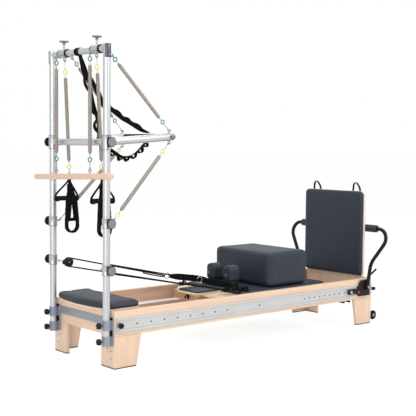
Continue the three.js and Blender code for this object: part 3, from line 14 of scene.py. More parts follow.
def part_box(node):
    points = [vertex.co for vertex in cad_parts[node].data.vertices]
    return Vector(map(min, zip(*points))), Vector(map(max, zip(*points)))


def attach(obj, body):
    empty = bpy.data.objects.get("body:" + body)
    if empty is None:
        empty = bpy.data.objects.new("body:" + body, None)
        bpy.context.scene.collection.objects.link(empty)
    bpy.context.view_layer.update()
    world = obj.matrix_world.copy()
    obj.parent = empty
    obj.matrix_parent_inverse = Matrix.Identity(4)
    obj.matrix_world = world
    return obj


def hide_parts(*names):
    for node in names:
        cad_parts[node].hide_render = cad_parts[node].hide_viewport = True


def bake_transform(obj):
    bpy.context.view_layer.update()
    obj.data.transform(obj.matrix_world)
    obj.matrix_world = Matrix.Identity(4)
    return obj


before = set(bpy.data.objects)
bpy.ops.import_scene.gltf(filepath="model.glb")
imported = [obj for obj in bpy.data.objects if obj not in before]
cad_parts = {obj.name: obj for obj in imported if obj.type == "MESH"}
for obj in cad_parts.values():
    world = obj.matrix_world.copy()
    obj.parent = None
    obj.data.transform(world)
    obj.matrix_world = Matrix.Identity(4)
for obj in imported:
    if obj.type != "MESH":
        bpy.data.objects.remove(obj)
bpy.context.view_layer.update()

# %% [markdown]
# ## Places
# The real unit is measured in millimetres from the tower end of its frame. One helper turns such a place into
# the model's own metres, so that every number below can be checked with a tape measure.

# %% Millimetres from the tower end
MM = 0.001
tower_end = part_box("near_side_rail")[0].x


def place(point):
    x, y, z = point
    return Vector((x * MM + tower_end, y * MM, z * MM))


print("tower end at", round(tower_end, 4))

# %% [markdown]
# ## Camera
# The camera could be placed by eye, but the frame's straight edges give it exactly, so it was fitted to them.
# It stands beyond the tower end, 1.33 m above the floor, and looks slightly down with a long lens.

# %% Camera at the photograph's angle
CAMERA_PLACE = (-3037.3, -4732.6, 1330)
HEADING, DIP, LEAN = -40.58, 3.82, 0.53
SENSOR_WIDTH, LENS = 36, 78.02

turn = Matrix.Rotation(math.radians(HEADING), 4, "Z")
tilt = Matrix.Rotation(math.radians(90 - DIP), 4, "X")
roll = Matrix.Rotation(math.radians(LEAN), 4, "Z")
camera_data = bpy.data.cameras.new("camera")
camera_data.sensor_width = SENSOR_WIDTH
camera_data.lens = LENS
camera = bpy.data.objects.new("camera", camera_data)
camera.matrix_world = Matrix.Translation(place(CAMERA_PLACE)) @ turn @ tilt @ roll
bpy.context.scene.collection.objects.link(camera)
bpy.context.scene.camera = camera
bpy.context.scene.view_settings.view_transform = "Standard"
print("camera at", [round(v, 3) for v in camera.matrix_world.translation])

# %% [markdown]
# ## Shader maths
# Patterns are easier to read as sums than as a web of nodes. One class wraps an output of a node, so that
# Python's own operators add the Math nodes, also with a number in front, and one method makes every other
# node. The same two serve the materials and the world.

# %% A value in a shader


class Value:
    """One output of a shader node."""

    def __init__(self, graph, socket):
        self.graph = graph
        self.socket = socket

    def maths(self, operation, other=0.0):
        return self.graph.node("ShaderNodeMath", {"operation": operation}, {0: self, 1: other})

    def __add__(self, other):
        return self.maths("ADD", other)

    def __mul__(self, other):
        return self.maths("MULTIPLY", other)

    __radd__ = __add__
    __rmul__ = __mul__


class Graph:
    """The nodes of one material or of the world."""

    def __init__(self, tree):
        self.tree = tree

    def node(self, kind, settings=None, inputs=None, output=0):
        new = self.tree.nodes.new(kind)
        for key, value in (settings or {}).items():
            setattr(new, key, value)
        for key, value in (inputs or {}).items():
            self.feed(new.inputs[key], value)
        return Value(self, new.outputs[output])

    def feed(self, socket, value):
        if isinstance(value, Value):
            self.tree.links.new(value.socket, socket)
        else:
            socket.default_value = value


print("shader maths ready")

# %% [markdown]
# ## A finish
# Every surface here is one Principled shader whose colour, roughness and relief are fed by patterns. The
# patterns that all finishes share, such as a noise or an even change from one colour to another, are methods.

# %% A finish and its patterns


class Finish(Graph):
    """A material under construction: one shader, and the nodes that feed it."""

    def __init__(self, name, colour, roughness, metallic=0.0, fixed=None):
        self.material = bpy.data.materials.new(name)
        self.material.use_nodes = True
        super().__init__(self.material.node_tree)
        self.shader = self.tree.nodes["Principled BSDF"]
        self.set("Base Color", (*colour, 1))
        self.set("Roughness", roughness)
        self.set("Metallic", metallic)
        for socket, value in (fixed or {}).items():
            self.set(socket, value)
        self.place = self.node("ShaderNodeTexCoord", output="Object")

    def set(self, name, value):
        self.feed(self.shader.inputs[name], value)

    def along_axis(self, axis):
        return self.node("ShaderNodeSeparateXYZ", {}, {"Vector": self.place}, axis)

    def stretched(self, scale):
        return self.node("ShaderNodeMapping", {}, {"Vector": self.place, "Scale": scale})

    def noise(self, where, scale, detail=3.0, rough=0.5):
        wanted = {"Vector": where, "Scale": scale, "Detail": detail, "Roughness": rough}
        return self.node("ShaderNodeTexNoise", {}, wanted, "Fac")

    def eased(self, value, low, high, start=0.0, end=1.0):
        wanted = {"Value": value, "From Min": low, "From Max": high, "To Min": start, "To Max": end}
        return self.node("ShaderNodeMapRange", {}, wanted)

    def mixed(self, share, first, second):
        """The first colour, or the one already worked out, turning into the second one by a share."""
        start = (*first, 1) if isinstance(first, tuple) else first
        return self.node("ShaderNodeMix", {"data_type": "RGBA"}, {0: share, 6: start, 7: (*second, 1)}, 2)

    def bump(self, height, strength, depth):
        wanted = {"Height": height, "Strength": strength, "Distance": depth}
        self.set("Normal", self.node("ShaderNodeBump", {}, wanted))


print("finish ready")

# %% [markdown]
# ## Maple
# The frame is clear-lacquered maple. A picture of wood would have to be wrapped round every board, so the grain
# is worked out instead: broad growth bands, fine fibres and a few darker flecks, from noise that is stretched
# along the board. The same recipe serves X, Y and Z.

# %% Maple along each direction


def maple_finish(name, along, change=None):
    wood = Finish(name, (0.86, 0.62, 0.42), 0.42, 0.0, {"Coat Weight": 0.25, "Coat Roughness": 0.2})
    scale = [9.0, 9.0, 9.0]
    fibre = [300.0, 300.0, 300.0]
    scale["XYZ".index(along)] = 0.7
    fibre["XYZ".index(along)] = 5.0
    bands = wood.noise(wood.stretched(scale), 1.6, 4.0, 0.6)
    rings = wood.eased(bands, 0.35, 0.65)
    fibres = wood.noise(wood.stretched(fibre), 1.0, 3.0, 0.6)
    flecks = wood.eased(wood.noise(wood.stretched([v * 0.35 for v in fibre]), 1.0, 1.0), 0.64, 0.74)
    tone = wood.mixed(rings, (0.81, 0.605, 0.45), (0.72, 0.505, 0.35))
    tone = wood.mixed(wood.eased(fibres, 0.35, 0.7) * 0.3, tone, (0.68, 0.46, 0.31))
    tone = wood.mixed(flecks * 0.22, tone, (0.55, 0.33, 0.19))
    if change:
        tone = change(wood, tone)
    wood.set("Base Color", tone)
    wood.set("Roughness", wood.eased(fibres, 0.2, 0.8, 0.34, 0.5))
    wood.bump(fibres, 0.25, 0.0004)
    return wood.material


maple_y = maple_finish("maple_along_y", "Y")
maple_z = maple_finish("maple_along_z", "Z")
print("maple ready")

# %% [markdown]
# ## Woods that differ by place
# Inside, the rails are darkened and reddened by a painted shade, and carry a bright runner for the wheels, and
# the carriage board is birch plywood on bearers darkened by a painted shade. These could be separate pieces,
# but they are faces of one board, so the recipe looks at the height and the distance from the middle, in
# metres, and changes the tone there.

# %% Rails, plywood, turned and pale wood
LEDGE_TOP, LEDGE_REACH = 0.2565, 0.3092
INNER_FACE, RAIL_LIP = 0.3106, 0.3485
PLIES_PER_METRE, GLUE_SHARE = 330, 0.45
BEARER_TOP = 0.3178


def below(value, limit):
    return value.maths("LESS_THAN", limit)


def inner_shade_and_runner(wood, tone):
    """Painted shade darkens the inner face in patches; the wheels' ledge is faced with a bright strip."""
    height = wood.along_axis("Z")
    reach = wood.along_axis("Y").maths("ABSOLUTE")
    strip = below(height, LEDGE_TOP) * below(reach, LEDGE_REACH)
    inside = below(reach, INNER_FACE) * below(height, RAIL_LIP)
    shade_patches = wood.eased(wood.noise(wood.stretched((2.2, 9.0, 26.0)), 1.0, 4.0, 0.65), 0.38, 0.62)
    # painted shade: the rails' inner faces are turned a darker, redder brown, in patches
    tone = wood.mixed(inside * (0.5 + 0.35 * shade_patches), tone, (0.44, 0.235, 0.14))
    wood.set("Metallic", strip * 0.6)
    return wood.mixed(strip, tone, (0.9, 0.9, 0.9))


def plywood_and_shaded_bearers(wood, tone):
    """The board's layers show as bands at its edge, and the bearers under it are darkened by a painted shade.
    """
    height = wood.along_axis("Z")
    glue = below((height * PLIES_PER_METRE).maths("FRACT"), GLUE_SHARE)
    edge = wood.mixed(glue * 0.5, (0.86, 0.70, 0.47), (0.58, 0.40, 0.22))
    # painted shade: everything below the board's underside is turned dark brown
    return wood.mixed(below(height, BEARER_TOP), edge, (0.50, 0.29, 0.165))


maple_rail = maple_finish("maple_rail_with_inner_shade_and_runner", "X", inner_shade_and_runner)
ply_board = maple_finish("birch_plywood_and_shaded_bearers", "Y", plywood_and_shaded_bearers)
turned_wood = maple_finish("turned_maple", "Y", lambda wood, tone: wood.mixed(0.5, tone, (0.66, 0.39, 0.27)))
pale_edge = maple_finish("pale_birch", "Z", lambda wood, tone: wood.mixed(0.7, tone, (0.78, 0.69, 0.65)))
print("other woods ready")

# %% [markdown]
# ## Upholstery
# The pads are covered with slate blue-grey synthetic leather. Its pebbles are about a millimetre across, too
# many to model, so a Voronoi pattern lifts them as relief. A slow change of tone and of gloss keeps the broad
# faces from looking flat.

# %% Slate leather
slate = Finish("slate_leather", (0.018, 0.026, 0.040), 0.46, 0.0, {"Specular IOR Level": 0.36})
pebbles = slate.node(
    "ShaderNodeTexVoronoi", {"feature": "SMOOTH_F1"}, {"Vector": slate.place, "Scale": 620.0, "Smoothness": 0.6}
)
creases = slate.noise(slate.place, 26.0, 4.0, 0.6)
clouds = slate.noise(slate.place, 3.2, 2.0)
cover = slate.mixed(slate.eased(clouds, 0.3, 0.7), (0.0145, 0.022, 0.036), (0.021, 0.031, 0.048))
slate.set("Base Color", slate.mixed(slate.eased(pebbles, 0.0, 0.0009) * 0.3, cover, (0.012, 0.017, 0.027)))
slate.set("Roughness", slate.eased(creases, 0.3, 0.7, 0.46, 0.58))
slate.bump(pebbles * 0.35 + creases * 0.4, 0.35, 0.0012)
leather = slate.material
print("leather ready")

# %% [markdown]
# ## Metals
# The tubes and sleeves are satin aluminium, the springs are bronzed steel wire, the tower bracket is grey
# powder coat and the hooks are bright plated wire. The metals differ only in colour, gloss and the direction
# of their brushing, so one function makes them all, and the paint gets a fine orange peel of its own.

# %% Tube, wire, plate and paint


def metal_finish(name, colour, roughness, metallic, grain):
    metal = Finish(name, colour, roughness, metallic)
    brushed = metal.noise(metal.stretched(grain), 1.0, 2.0)
    smears = metal.noise(metal.place, 6.0, 2.0)
    wear = 0.4 * brushed + 0.6 * smears
    metal.set("Roughness", metal.eased(wear, 0.3, 0.7, roughness - 0.03, roughness + 0.05))
    low = tuple(v * 0.94 for v in colour)
    metal.set("Base Color", metal.mixed(metal.eased(smears, 0.3, 0.7), colour, low))
    return metal.material


tube_metal = metal_finish("satin_aluminium", (0.56, 0.565, 0.575), 0.36, 0.88, (500.0, 500.0, 60.0))
collar_metal = metal_finish("collar_aluminium", (0.47, 0.475, 0.49), 0.3, 0.85, (300.0, 300.0, 300.0))
collar_rim = metal_finish("collar_rim", (0.20, 0.20, 0.215), 0.35, 0.85, (300.0, 300.0, 300.0))
track_metal = metal_finish("track_aluminium", (0.60, 0.595, 0.59), 0.36, 0.7, (8.0, 500.0, 500.0))
wire_metal = metal_finish("spring_wire", (0.42, 0.37, 0.325), 0.42, 0.88, (300.0, 300.0, 300.0))
bright_metal = metal_finish("plated_wire", (0.34, 0.34, 0.36), 0.2, 0.95, (300.0, 300.0, 300.0))
plate_blue = metal_finish("blued_plate", (0.085, 0.095, 0.125), 0.36, 0.7, (200.0, 200.0, 200.0))
disc_metal = metal_finish("knob_face", (0.21, 0.21, 0.22), 0.42, 0.35, (90.0, 90.0, 90.0))

paint = Finish("grey_powder_coat", (0.255, 0.28, 0.325), 0.45, 0.1, {"Coat Weight": 0.1, "Coat Roughness": 0.3})
peel = paint.noise(paint.place, 700.0, 2.0)
paint.set("Roughness", paint.eased(peel, 0.3, 0.7, 0.4, 0.52))
paint.bump(peel, 0.12, 0.0003)
grey_paint = paint.material
print("metals ready")

# %% [markdown]
# ## Plastics, rubber and cloth
# Knobs and wheels are matt black plastic with a fine moulded grain. Grips are closed-cell foam. Straps are
# woven black webbing. A pattern on plain object places would slide across a bent strap, so its ribs follow the
# strap's own length and width, which each strap keeps as an attribute named lie.

# %% Black plastic, rubber, foam and colours


def moulded_finish(name, colour, roughness, scale, depth, gloss=0.2):
    plastic = Finish(name, colour, roughness, 0.0, {"Specular IOR Level": gloss})
    grain = plastic.noise(plastic.place, scale, 2.0)
    worn = plastic.noise(plastic.place, 14.0, 3.0)
    plastic.set("Roughness", plastic.eased(worn, 0.3, 0.7, roughness - 0.05, roughness + 0.07))
    light = tuple(v * 1.5 + 0.002 for v in colour)
    plastic.set("Base Color", plastic.mixed(plastic.eased(worn, 0.45, 0.8) * 0.5, colour, light))
    plastic.bump(grain, 0.3, depth)
    return plastic.material


black_plastic = moulded_finish("matt_black_plastic", (0.007, 0.007, 0.0075), 0.42, 900.0, 0.0003)
black_rubber = moulded_finish("black_rubber", (0.005, 0.005, 0.0055), 0.75, 500.0, 0.0005, 0.12)
black_foam = moulded_finish("black_foam", (0.006, 0.006, 0.0068), 0.82, 260.0, 0.0012, 0.12)
tube_black = moulded_finish("black_tube", (0.003, 0.003, 0.0032), 0.36, 800.0, 0.0002)
red_plastic = moulded_finish("red_button", (0.56, 0.02, 0.03), 0.35, 700.0, 0.0002)
green_band = moulded_finish("green_band", (0.035, 0.30, 0.16), 0.4, 500.0, 0.0002)
yellow_band = moulded_finish("yellow_band", (0.76, 0.66, 0.12), 0.4, 500.0, 0.0002)
hole_shade_plug = moulded_finish("painted_hole_shade", (0.002, 0.002, 0.002), 0.9, 600.0, 0.0001)
screw_black = moulded_finish("screw_head", (0.06, 0.045, 0.04), 0.45, 600.0, 0.0002)

webbing_finish = Finish("black_webbing", (0.004, 0.004, 0.005), 0.85, 0.0, {"Specular IOR Level": 0.1})
lie = webbing_finish.node("ShaderNodeAttribute", {"attribute_name": "lie"}, {}, "Vector")
ribs = webbing_finish.node(
    "ShaderNodeTexWave", {"bands_direction": "DIAGONAL"}, {"Vector": lie, "Scale": 90.0, "Distortion": 0.4}
)
threads = webbing_finish.noise(webbing_finish.place, 900.0, 2.0)
webbing_finish.set("Base Color", webbing_finish.mixed(ribs, (0.002, 0.002, 0.0025), (0.008, 0.008, 0.009)))
webbing_finish.bump(ribs * 0.7 + threads * 0.3, 0.5, 0.0008)
webbing = webbing_finish.material
nylon = moulded_finish("padded_nylon", (0.0025, 0.0025, 0.003), 0.8, 850.0, 0.0006, 0.08)
print("plastics and cloth ready")

# %% [markdown]
# ## Modelling helpers
# Each helper does what a maker does by hand: adds a primitive or an outline, extrudes or spins it, eases its
# edges and fixes its place in its mesh. An operator acts on all that is selected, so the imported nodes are
# deselected first.

# %% Selecting and finishing a piece
EDGE_ANGLE = math.radians(35)


def pick(*objects):
    bpy.ops.object.select_all(action="DESELECT")
    for obj in objects:
        obj.select_set(True)
    if objects:
        bpy.context.view_layer.objects.active = objects[0]


def made(name, finish, ease=0.0, steps=2):
    """Fixes the active object's place in its mesh, names it, eases its edges and gives it its finish."""
    obj = bpy.context.object
    bpy.ops.object.transform_apply(location=True, rotation=True, scale=True)
    obj.name = obj.data.name = name
    obj.data.materials.clear()
    obj.data.materials.append(finish)
    if ease:
        bevel = obj.modifiers.new("eased", "BEVEL")
        bevel.width = ease * MM
        bevel.segments = steps
        bevel.limit_method = "ANGLE"
        bevel.angle_limit = EDGE_ANGLE
        bpy.ops.object.modifier_apply(modifier=bevel.name)
    bpy.ops.object.shade_smooth_by_angle(angle=EDGE_ANGLE)
    return obj


def drawn(name, points, edges, faces):
    """A new object from points in the model's own metres, picked and ready for edit mode."""
    mesh = bpy.data.meshes.new(name)
    mesh.from_pydata([tuple(p) for p in points], edges, faces)
    obj = bpy.data.objects.new(name, mesh)
    bpy.context.scene.collection.objects.link(obj)
    pick(obj)
    return obj


def in_edit_mode(*steps):
    bpy.ops.object.mode_set(mode="EDIT")
    bpy.ops.mesh.select_all(action="SELECT")
    for step in steps:
        step()
    bpy.ops.object.mode_set(mode="OBJECT")


def face_outwards():
    bpy.ops.mesh.select_all(action="SELECT")
    bpy.ops.mesh.remove_doubles(threshold=0.00001)
    bpy.ops.mesh.normals_make_consistent(inside=False)


def joined(name, *parts):
    pick(*parts)
    bpy.ops.object.join()
    bpy.context.object.name = bpy.context.object.data.name = name
    return bpy.context.object


print("helpers for selecting ready")

# %% [markdown]
# ## Bars, turned forms, slabs and blocks
# Most of the unit was turned, sawn or bent on a machine, so a few forms make most of it: a bar between two
# places, a profile spun about a line, an outline pushed out along one axis, a box, a ring and a bent tube.

# %% Bars, turned forms, slabs and blocks
ROUND_SIDES = 40


def facing(start, end):
    return (place(end) - place(start)).to_track_quat("Z", "Y")


def bar(name, start, end, radius, finish, ease=0.0, sides=ROUND_SIDES):
    pick()
    middle = (place(start) + place(end)) / 2
    bpy.ops.mesh.primitive_cylinder_add(
        vertices=sides, radius=radius * MM, depth=(place(end) - place(start)).length,
        location=middle, rotation=facing(start, end).to_euler(),
    )
    return made(name, finish, ease)


def turned(name, profile, start, towards, finish, ease=0.0):
    """Spins a profile of (radius, distance) about the line from start towards a second point."""
    points = [(radius * MM, 0, along * MM) for radius, along in profile]
    obj = drawn(name, points, [(i, i + 1) for i in range(len(points) - 1)], [])
    in_edit_mode(
        lambda: bpy.ops.mesh.spin(steps=ROUND_SIDES, angle=math.tau, center=(0, 0, 0), axis=(0, 0, 1)),
        face_outwards,
    )
    obj.matrix_world = Matrix.Translation(place(start)) @ facing(start, towards).to_matrix().to_4x4()
    return made(name, finish, ease)


def slab(name, corners, along, low, high, finish, ease=0.0, steps=2):
    """Extrudes an outline along one axis; its corners give the other two axes in their order."""
    axis = "XYZ".index(along)
    others = [i for i in range(3) if i != axis]

    def spot(corner, level):
        point = [0.0, 0.0, 0.0]
        point[axis] = level
        point[others[0]], point[others[1]] = corner
        return place(point)

    drawn(name, [spot(c, low) for c in corners], [], [range(len(corners))])
    push = spot(corners[0], high) - spot(corners[0], low)
    in_edit_mode(
        lambda: bpy.ops.mesh.extrude_region_move(TRANSFORM_OT_translate={"value": push}),
        face_outwards,
    )
    return made(name, finish, ease, steps)


def block(name, low, high, finish, ease=0.0, steps=2):
    pick()
    a, b = place(low), place(high)
    size = Vector([abs(v) for v in b - a])
    bpy.ops.mesh.primitive_cube_add(size=1, location=(a + b) / 2, scale=size)
    return made(name, finish, ease, steps)


def hoop(name, centre, normal, major, minor, finish, around=28, across=10):
    pick()
    bpy.ops.mesh.primitive_torus_add(
        major_radius=major * MM, minor_radius=minor * MM, major_segments=around, minor_segments=across,
        location=place(centre), rotation=Vector(normal).to_track_quat("Z", "Y").to_euler(),
    )
    return made(name, finish)


def tube(name, points, radius, finish, round_steps=2):
    """A round tube or wire along its points, swept as a curve and turned into a mesh."""
    pick()
    curve = bpy.data.curves.new(name, "CURVE")
    curve.dimensions = "3D"
    curve.bevel_depth = radius * MM
    curve.bevel_resolution = round_steps
    curve.use_fill_caps = True
    spline = curve.splines.new("POLY")
    spline.points.add(len(points) - 1)
    for knot, point in zip(spline.points, points):
        knot.co = (*place(point), 1)
    obj = bpy.data.objects.new(name, curve)
    bpy.context.scene.collection.objects.link(obj)
    pick(obj)
    bpy.ops.object.convert(target="MESH")
    return made(name, finish)


def rounded(corners, radius, steps=6):
    """An outline whose corners are replaced by arcs."""
    points = []
    count = len(corners)
    for i in range(count):
        here = Vector(corners[i])
        back = (Vector(corners[i - 1]) - here).normalized()
        ahead = (Vector(corners[(i + 1) % count]) - here).normalized()
        half = back.angle(ahead) / 2
        centre = here + (back + ahead).normalized() * (radius / math.sin(half))
        first = here + back * (radius / math.tan(half)) - centre
        last = here + ahead * (radius / math.tan(half)) - centre
        for step in range(steps + 1):
            arm = first.lerp(last, step / steps).normalized() * radius
            points.append(tuple(centre + arm))
    return points


def curved(points, steps=6):
    """More places on a smooth line through the given ones."""
    line = [Vector(p) for p in points]
    found = []
    for i in range(len(line) - 1):
        before = line[max(i - 1, 0)]
        after = line[min(i + 2, len(line) - 1)]
        for step in range(steps):
            t = step / steps
            a = 2 * line[i]
            b = (line[i + 1] - before) * t
            c = (2 * before - 5 * line[i] + 4 * line[i + 1] - after) * t * t
            d = (3 * line[i] - before - 3 * line[i + 1] + after) * t ** 3
            found.append(tuple((a + b + c + d) / 2))
    found.append(tuple(line[-1]))
    return found


print("helpers for forms ready")

# %% [markdown]
# ## Straps and knobs
# A strap is webbing that bends one way and twists, so it is a strip of faces along its route, and Solidify
# gives it its thickness. A star knob is an outline pushed out and dished, and a disc knob is turned.

# %% Straps and knobs
STAR_LOBES, STAR_DEPTH, STAR_POINTS = 6, 0.22, 60
KNOB_STEM = 6


def strap(name, points, across, width, thickness, finish):
    """A flat strap: a strip of faces along its points, given its thickness by Solidify."""
    line = [place(p) for p in points]
    ways = across if isinstance(across, list) else [across] * len(line)
    sides = [Vector(way).normalized() * width * MM / 2 for way in ways]
    verts = [p + side * end for p, side in zip(line, sides) for end in (-1, 0, 1)]
    faces = []
    for i in range(len(line) - 1):
        for j in (0, 1):
            k = 3 * i + j
            faces.append((k, k + 1, k + 4, k + 3))
    obj = drawn(name, verts, [], faces)
    wall = obj.modifiers.new("thickness", "SOLIDIFY")
    wall.thickness = thickness * MM
    wall.offset = 0
    bpy.ops.object.modifier_apply(modifier=wall.name)
    lie = obj.data.attributes.new("lie", "FLOAT_VECTOR", "POINT")
    run = [0.0]
    for a, b in zip(line, line[1:]):
        run.append(run[-1] + (b - a).length)
    for i, vertex in enumerate(obj.data.vertices):
        row = (i % (3 * len(line))) // 3
        lie.data[i].vector = (run[row], (vertex.co - line[row]).dot(sides[row].normalized()), 0)
    return made(name, finish, min(thickness / 4, 1.2))


def star_outline(radius):
    points = []
    for i in range(STAR_POINTS):
        angle = math.tau * i / STAR_POINTS
        reach = radius * (1 - STAR_DEPTH * (0.5 - 0.5 * math.cos(STAR_LOBES * angle)))
        points.append((reach * math.cos(angle), reach * math.sin(angle)))
    return points


def star_knob(name, root, towards, stem, radius, height, finish):
    """A lobed hand knob on its stem, with a shallow dish in its face."""
    points = [(u * MM, v * MM, stem * MM) for u, v in star_outline(radius)]
    obj = drawn(name, points, [], [range(len(points))])
    in_edit_mode(
        lambda: bpy.ops.mesh.extrude_region_move(TRANSFORM_OT_translate={"value": (0, 0, height * MM)}),
        lambda: bpy.ops.mesh.inset(thickness=radius * 0.3 * MM),
        lambda: bpy.ops.transform.translate(value=(0, 0, height * 0.12 * MM)),
        face_outwards,
    )
    obj.matrix_world = Matrix.Translation(place(root)) @ facing(root, towards).to_matrix().to_4x4()
    head = made(name, finish, 1.6)
    direction = (Vector(towards) - Vector(root)).normalized()
    end = Vector(root) + direction * (stem + height / 2)
    return joined(name, head, bar(name + "_stem", root, end, KNOB_STEM, bright_metal))


def disc_knob(name, root, towards, stem, radius, height):
    """A round knob: a black rim with a grey face let into it."""
    top = stem + height
    profile = [
        (0, stem), (radius - 2, stem), (radius, stem + 2), (radius, top - 2),
        (radius - 2, top - 0.6), (radius - 3, top - 0.6), (0, top - 0.6),
    ]
    face = [(0, top - 1), (radius - 3, top - 1), (radius - 3.6, top), (0, top)]
    direction = (Vector(towards) - Vector(root)).normalized()
    end = Vector(root) + direction * (stem + height / 2)
    return joined(
        name,
        turned(name, profile, root, towards, black_plastic),
        turned(name + "_face", face, root, towards, disc_metal),
        bar(name + "_stem", root, end, KNOB_STEM, bright_metal),
    )


def sleeve(name, centre, axis, bore, outer, length, finish, flare=0.0):
    """A collar round a tube, its ends eased, and flared where the real one is."""
    half = length / 2
    profile = [
        (bore, -half), (outer + flare - 0.8, -half), (outer + flare, 0.8 - half), (outer + flare, 4 - half),
        (outer, 7 - half), (outer, half - 7), (outer + flare, half - 4), (outer + flare, half - 0.8),
        (outer + flare - 0.8, half), (bore, half), (bore, -half),
    ]
    return turned(name, profile, centre, Vector(centre) + Vector(axis), finish)


print("helpers for straps and knobs ready")

# %% [markdown]
# ## Declaring a piece
# Every piece rides on the body that carries it on the real unit, and says which imported nodes it stands for,
# and these are hidden. A rope, strap or spring with its two ends on two bodies is fixed in place instead, and
# rides on neither.


def declared(obj, bodies, nodes):
    """Hides the nodes that a piece stands for, and says what was made."""
    if nodes:
        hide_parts(*nodes)
    print(obj.name, len(obj.data.polygons), "faces, on", bodies)
    return obj


def fitted(obj, body, *nodes):
    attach(obj, body)
    return declared(obj, body, nodes)


def stretched_between(obj, first, second, start, end, *nodes):
    """A piece with its ends on two bodies: its place is fixed in its mesh, and it rides on neither."""
    place(start)
    place(end)
    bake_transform(obj)
    return declared(obj, first + " and " + second, nodes)


def dress(finish, *nodes):
    """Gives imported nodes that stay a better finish."""
    for node in nodes:
        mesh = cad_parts[node].data
        mesh.materials.clear()
        mesh.materials.append(finish)


# %% [markdown]
# ## Wooden frame
# The two rails and the end boards are plain planed boards with eased edges, which the imported model already
# has, so they get their grain, and the rails a bright runner and a painted shade on their inner faces. The legs
# are remade, because their soles are rubber.

# %% Rails and boards
dress(maple_rail, "near_side_rail", "far_side_rail")
dress(maple_y, "tower_end_board", "foot_end_board")
dress(ply_board, "carriage_frame")
dress(black_plastic, "spring_bar")
print("frame dressed")

# %% [markdown]
# ## Legs
# Each leg is two boards in an L: one across the end of the frame, and a tapered one along its side, on a
# rubber sole. A box would do for the first and not for the second, so that one is an outline pushed out to the
# board's thickness. Dark screw heads show on the end face. The foot legs carry the transport wheels' brackets.

# %% Four legs
HALF_WIDTH = 340
LENGTH = 2380
SIDES = {"near": -1, "far": 1}
LEG_BOARD = 23
SOLE_TOP, LEG_TOP = 6, 196.7
WHEEL_X, WHEEL_Z = LENGTH + 39, 55
WHEEL_BRACKET_Y = 315.7


def leg(side, end):
    s = SIDES[side]
    start = 0 if end == "tower" else LENGTH
    e = 1 if end == "tower" else -1
    name = side + "_" + end + "_leg"
    face = block(
        name, (start, s * (HALF_WIDTH - 143), SOLE_TOP), (start + e * LEG_BOARD, s * HALF_WIDTH, LEG_TOP),
        maple_z, 2.5, 3,
    )
    taper = [
        (start + e * 22.5, SOLE_TOP), (start + e * 164, SOLE_TOP),
        (start + e * 200, LEG_TOP), (start + e * 22.5, LEG_TOP),
    ]
    flank = slab(
        name + "_flank", taper, "Y", s * (HALF_WIDTH - LEG_BOARD), s * HALF_WIDTH, maple_z, 2.5, 3,
    )
    sole = slab(
        name + "_sole",
        [
            (start + e * 1, s * 339), (start + e * 163, s * 339), (start + e * 163, s * 318),
            (start + e * 22, s * 318), (start + e * 22, s * 198), (start + e * 1, s * 198),
        ],
        "Z", 0, 6.4, black_rubber, 1.0,
    )
    parts = [face, flank, sole]
    if end == "tower":
        for y, z in ((300, 105), (268, 118), (300, 62)):
            parts.append(bar(name + "_screw", (-0.8, s * y, z), (3, s * y, z), 4.5, screw_black, 0.6, 20))
    else:
        inner = s * WHEEL_BRACKET_Y
        parts.append(block(
            name + "_bracket", (LENGTH - 3, inner - s * 5, WHEEL_Z - 14), (LENGTH + 53, inner, WHEEL_Z + 14),
            black_plastic, 1.5,
        ))
        parts.append(bar(
            name + "_pin", (WHEEL_X, inner, WHEEL_Z), (WHEEL_X, s * 341, WHEEL_Z), 5, bright_metal,
        ))
        parts.append(bar(
            name + "_pin_head", (WHEEL_X, s * 340.3, WHEEL_Z), (WHEEL_X, s * 343.3, WHEEL_Z), 9,
            bright_metal, 1.0,
        ))
    return fitted(joined(name + "_boards", *parts), "base", name)


for side_name in SIDES:
    for end_name in ("tower", "foot"):
        leg(side_name, end_name)

# %% [markdown]
# ## Aluminium tracks
# A grooved channel runs along each side of the frame. The real one is an extrusion with fine ribs, drilled for
# the foot bar's plunger, so its section is drawn once, extruded and drilled with a Boolean.

# %% Track section, holes and knobs
TRACK_HEIGHT = 264
TRACK_INNER, TRACK_FLOOR, TRACK_OUTER = 340.3, 345.3, 350.3
wide_holes = [161 + i * 104.6 for i in range(8)]
close_holes = [1629 + i * 53.6 for i in range(9)]
hole_places = [1189, *wide_holes, *close_holes]


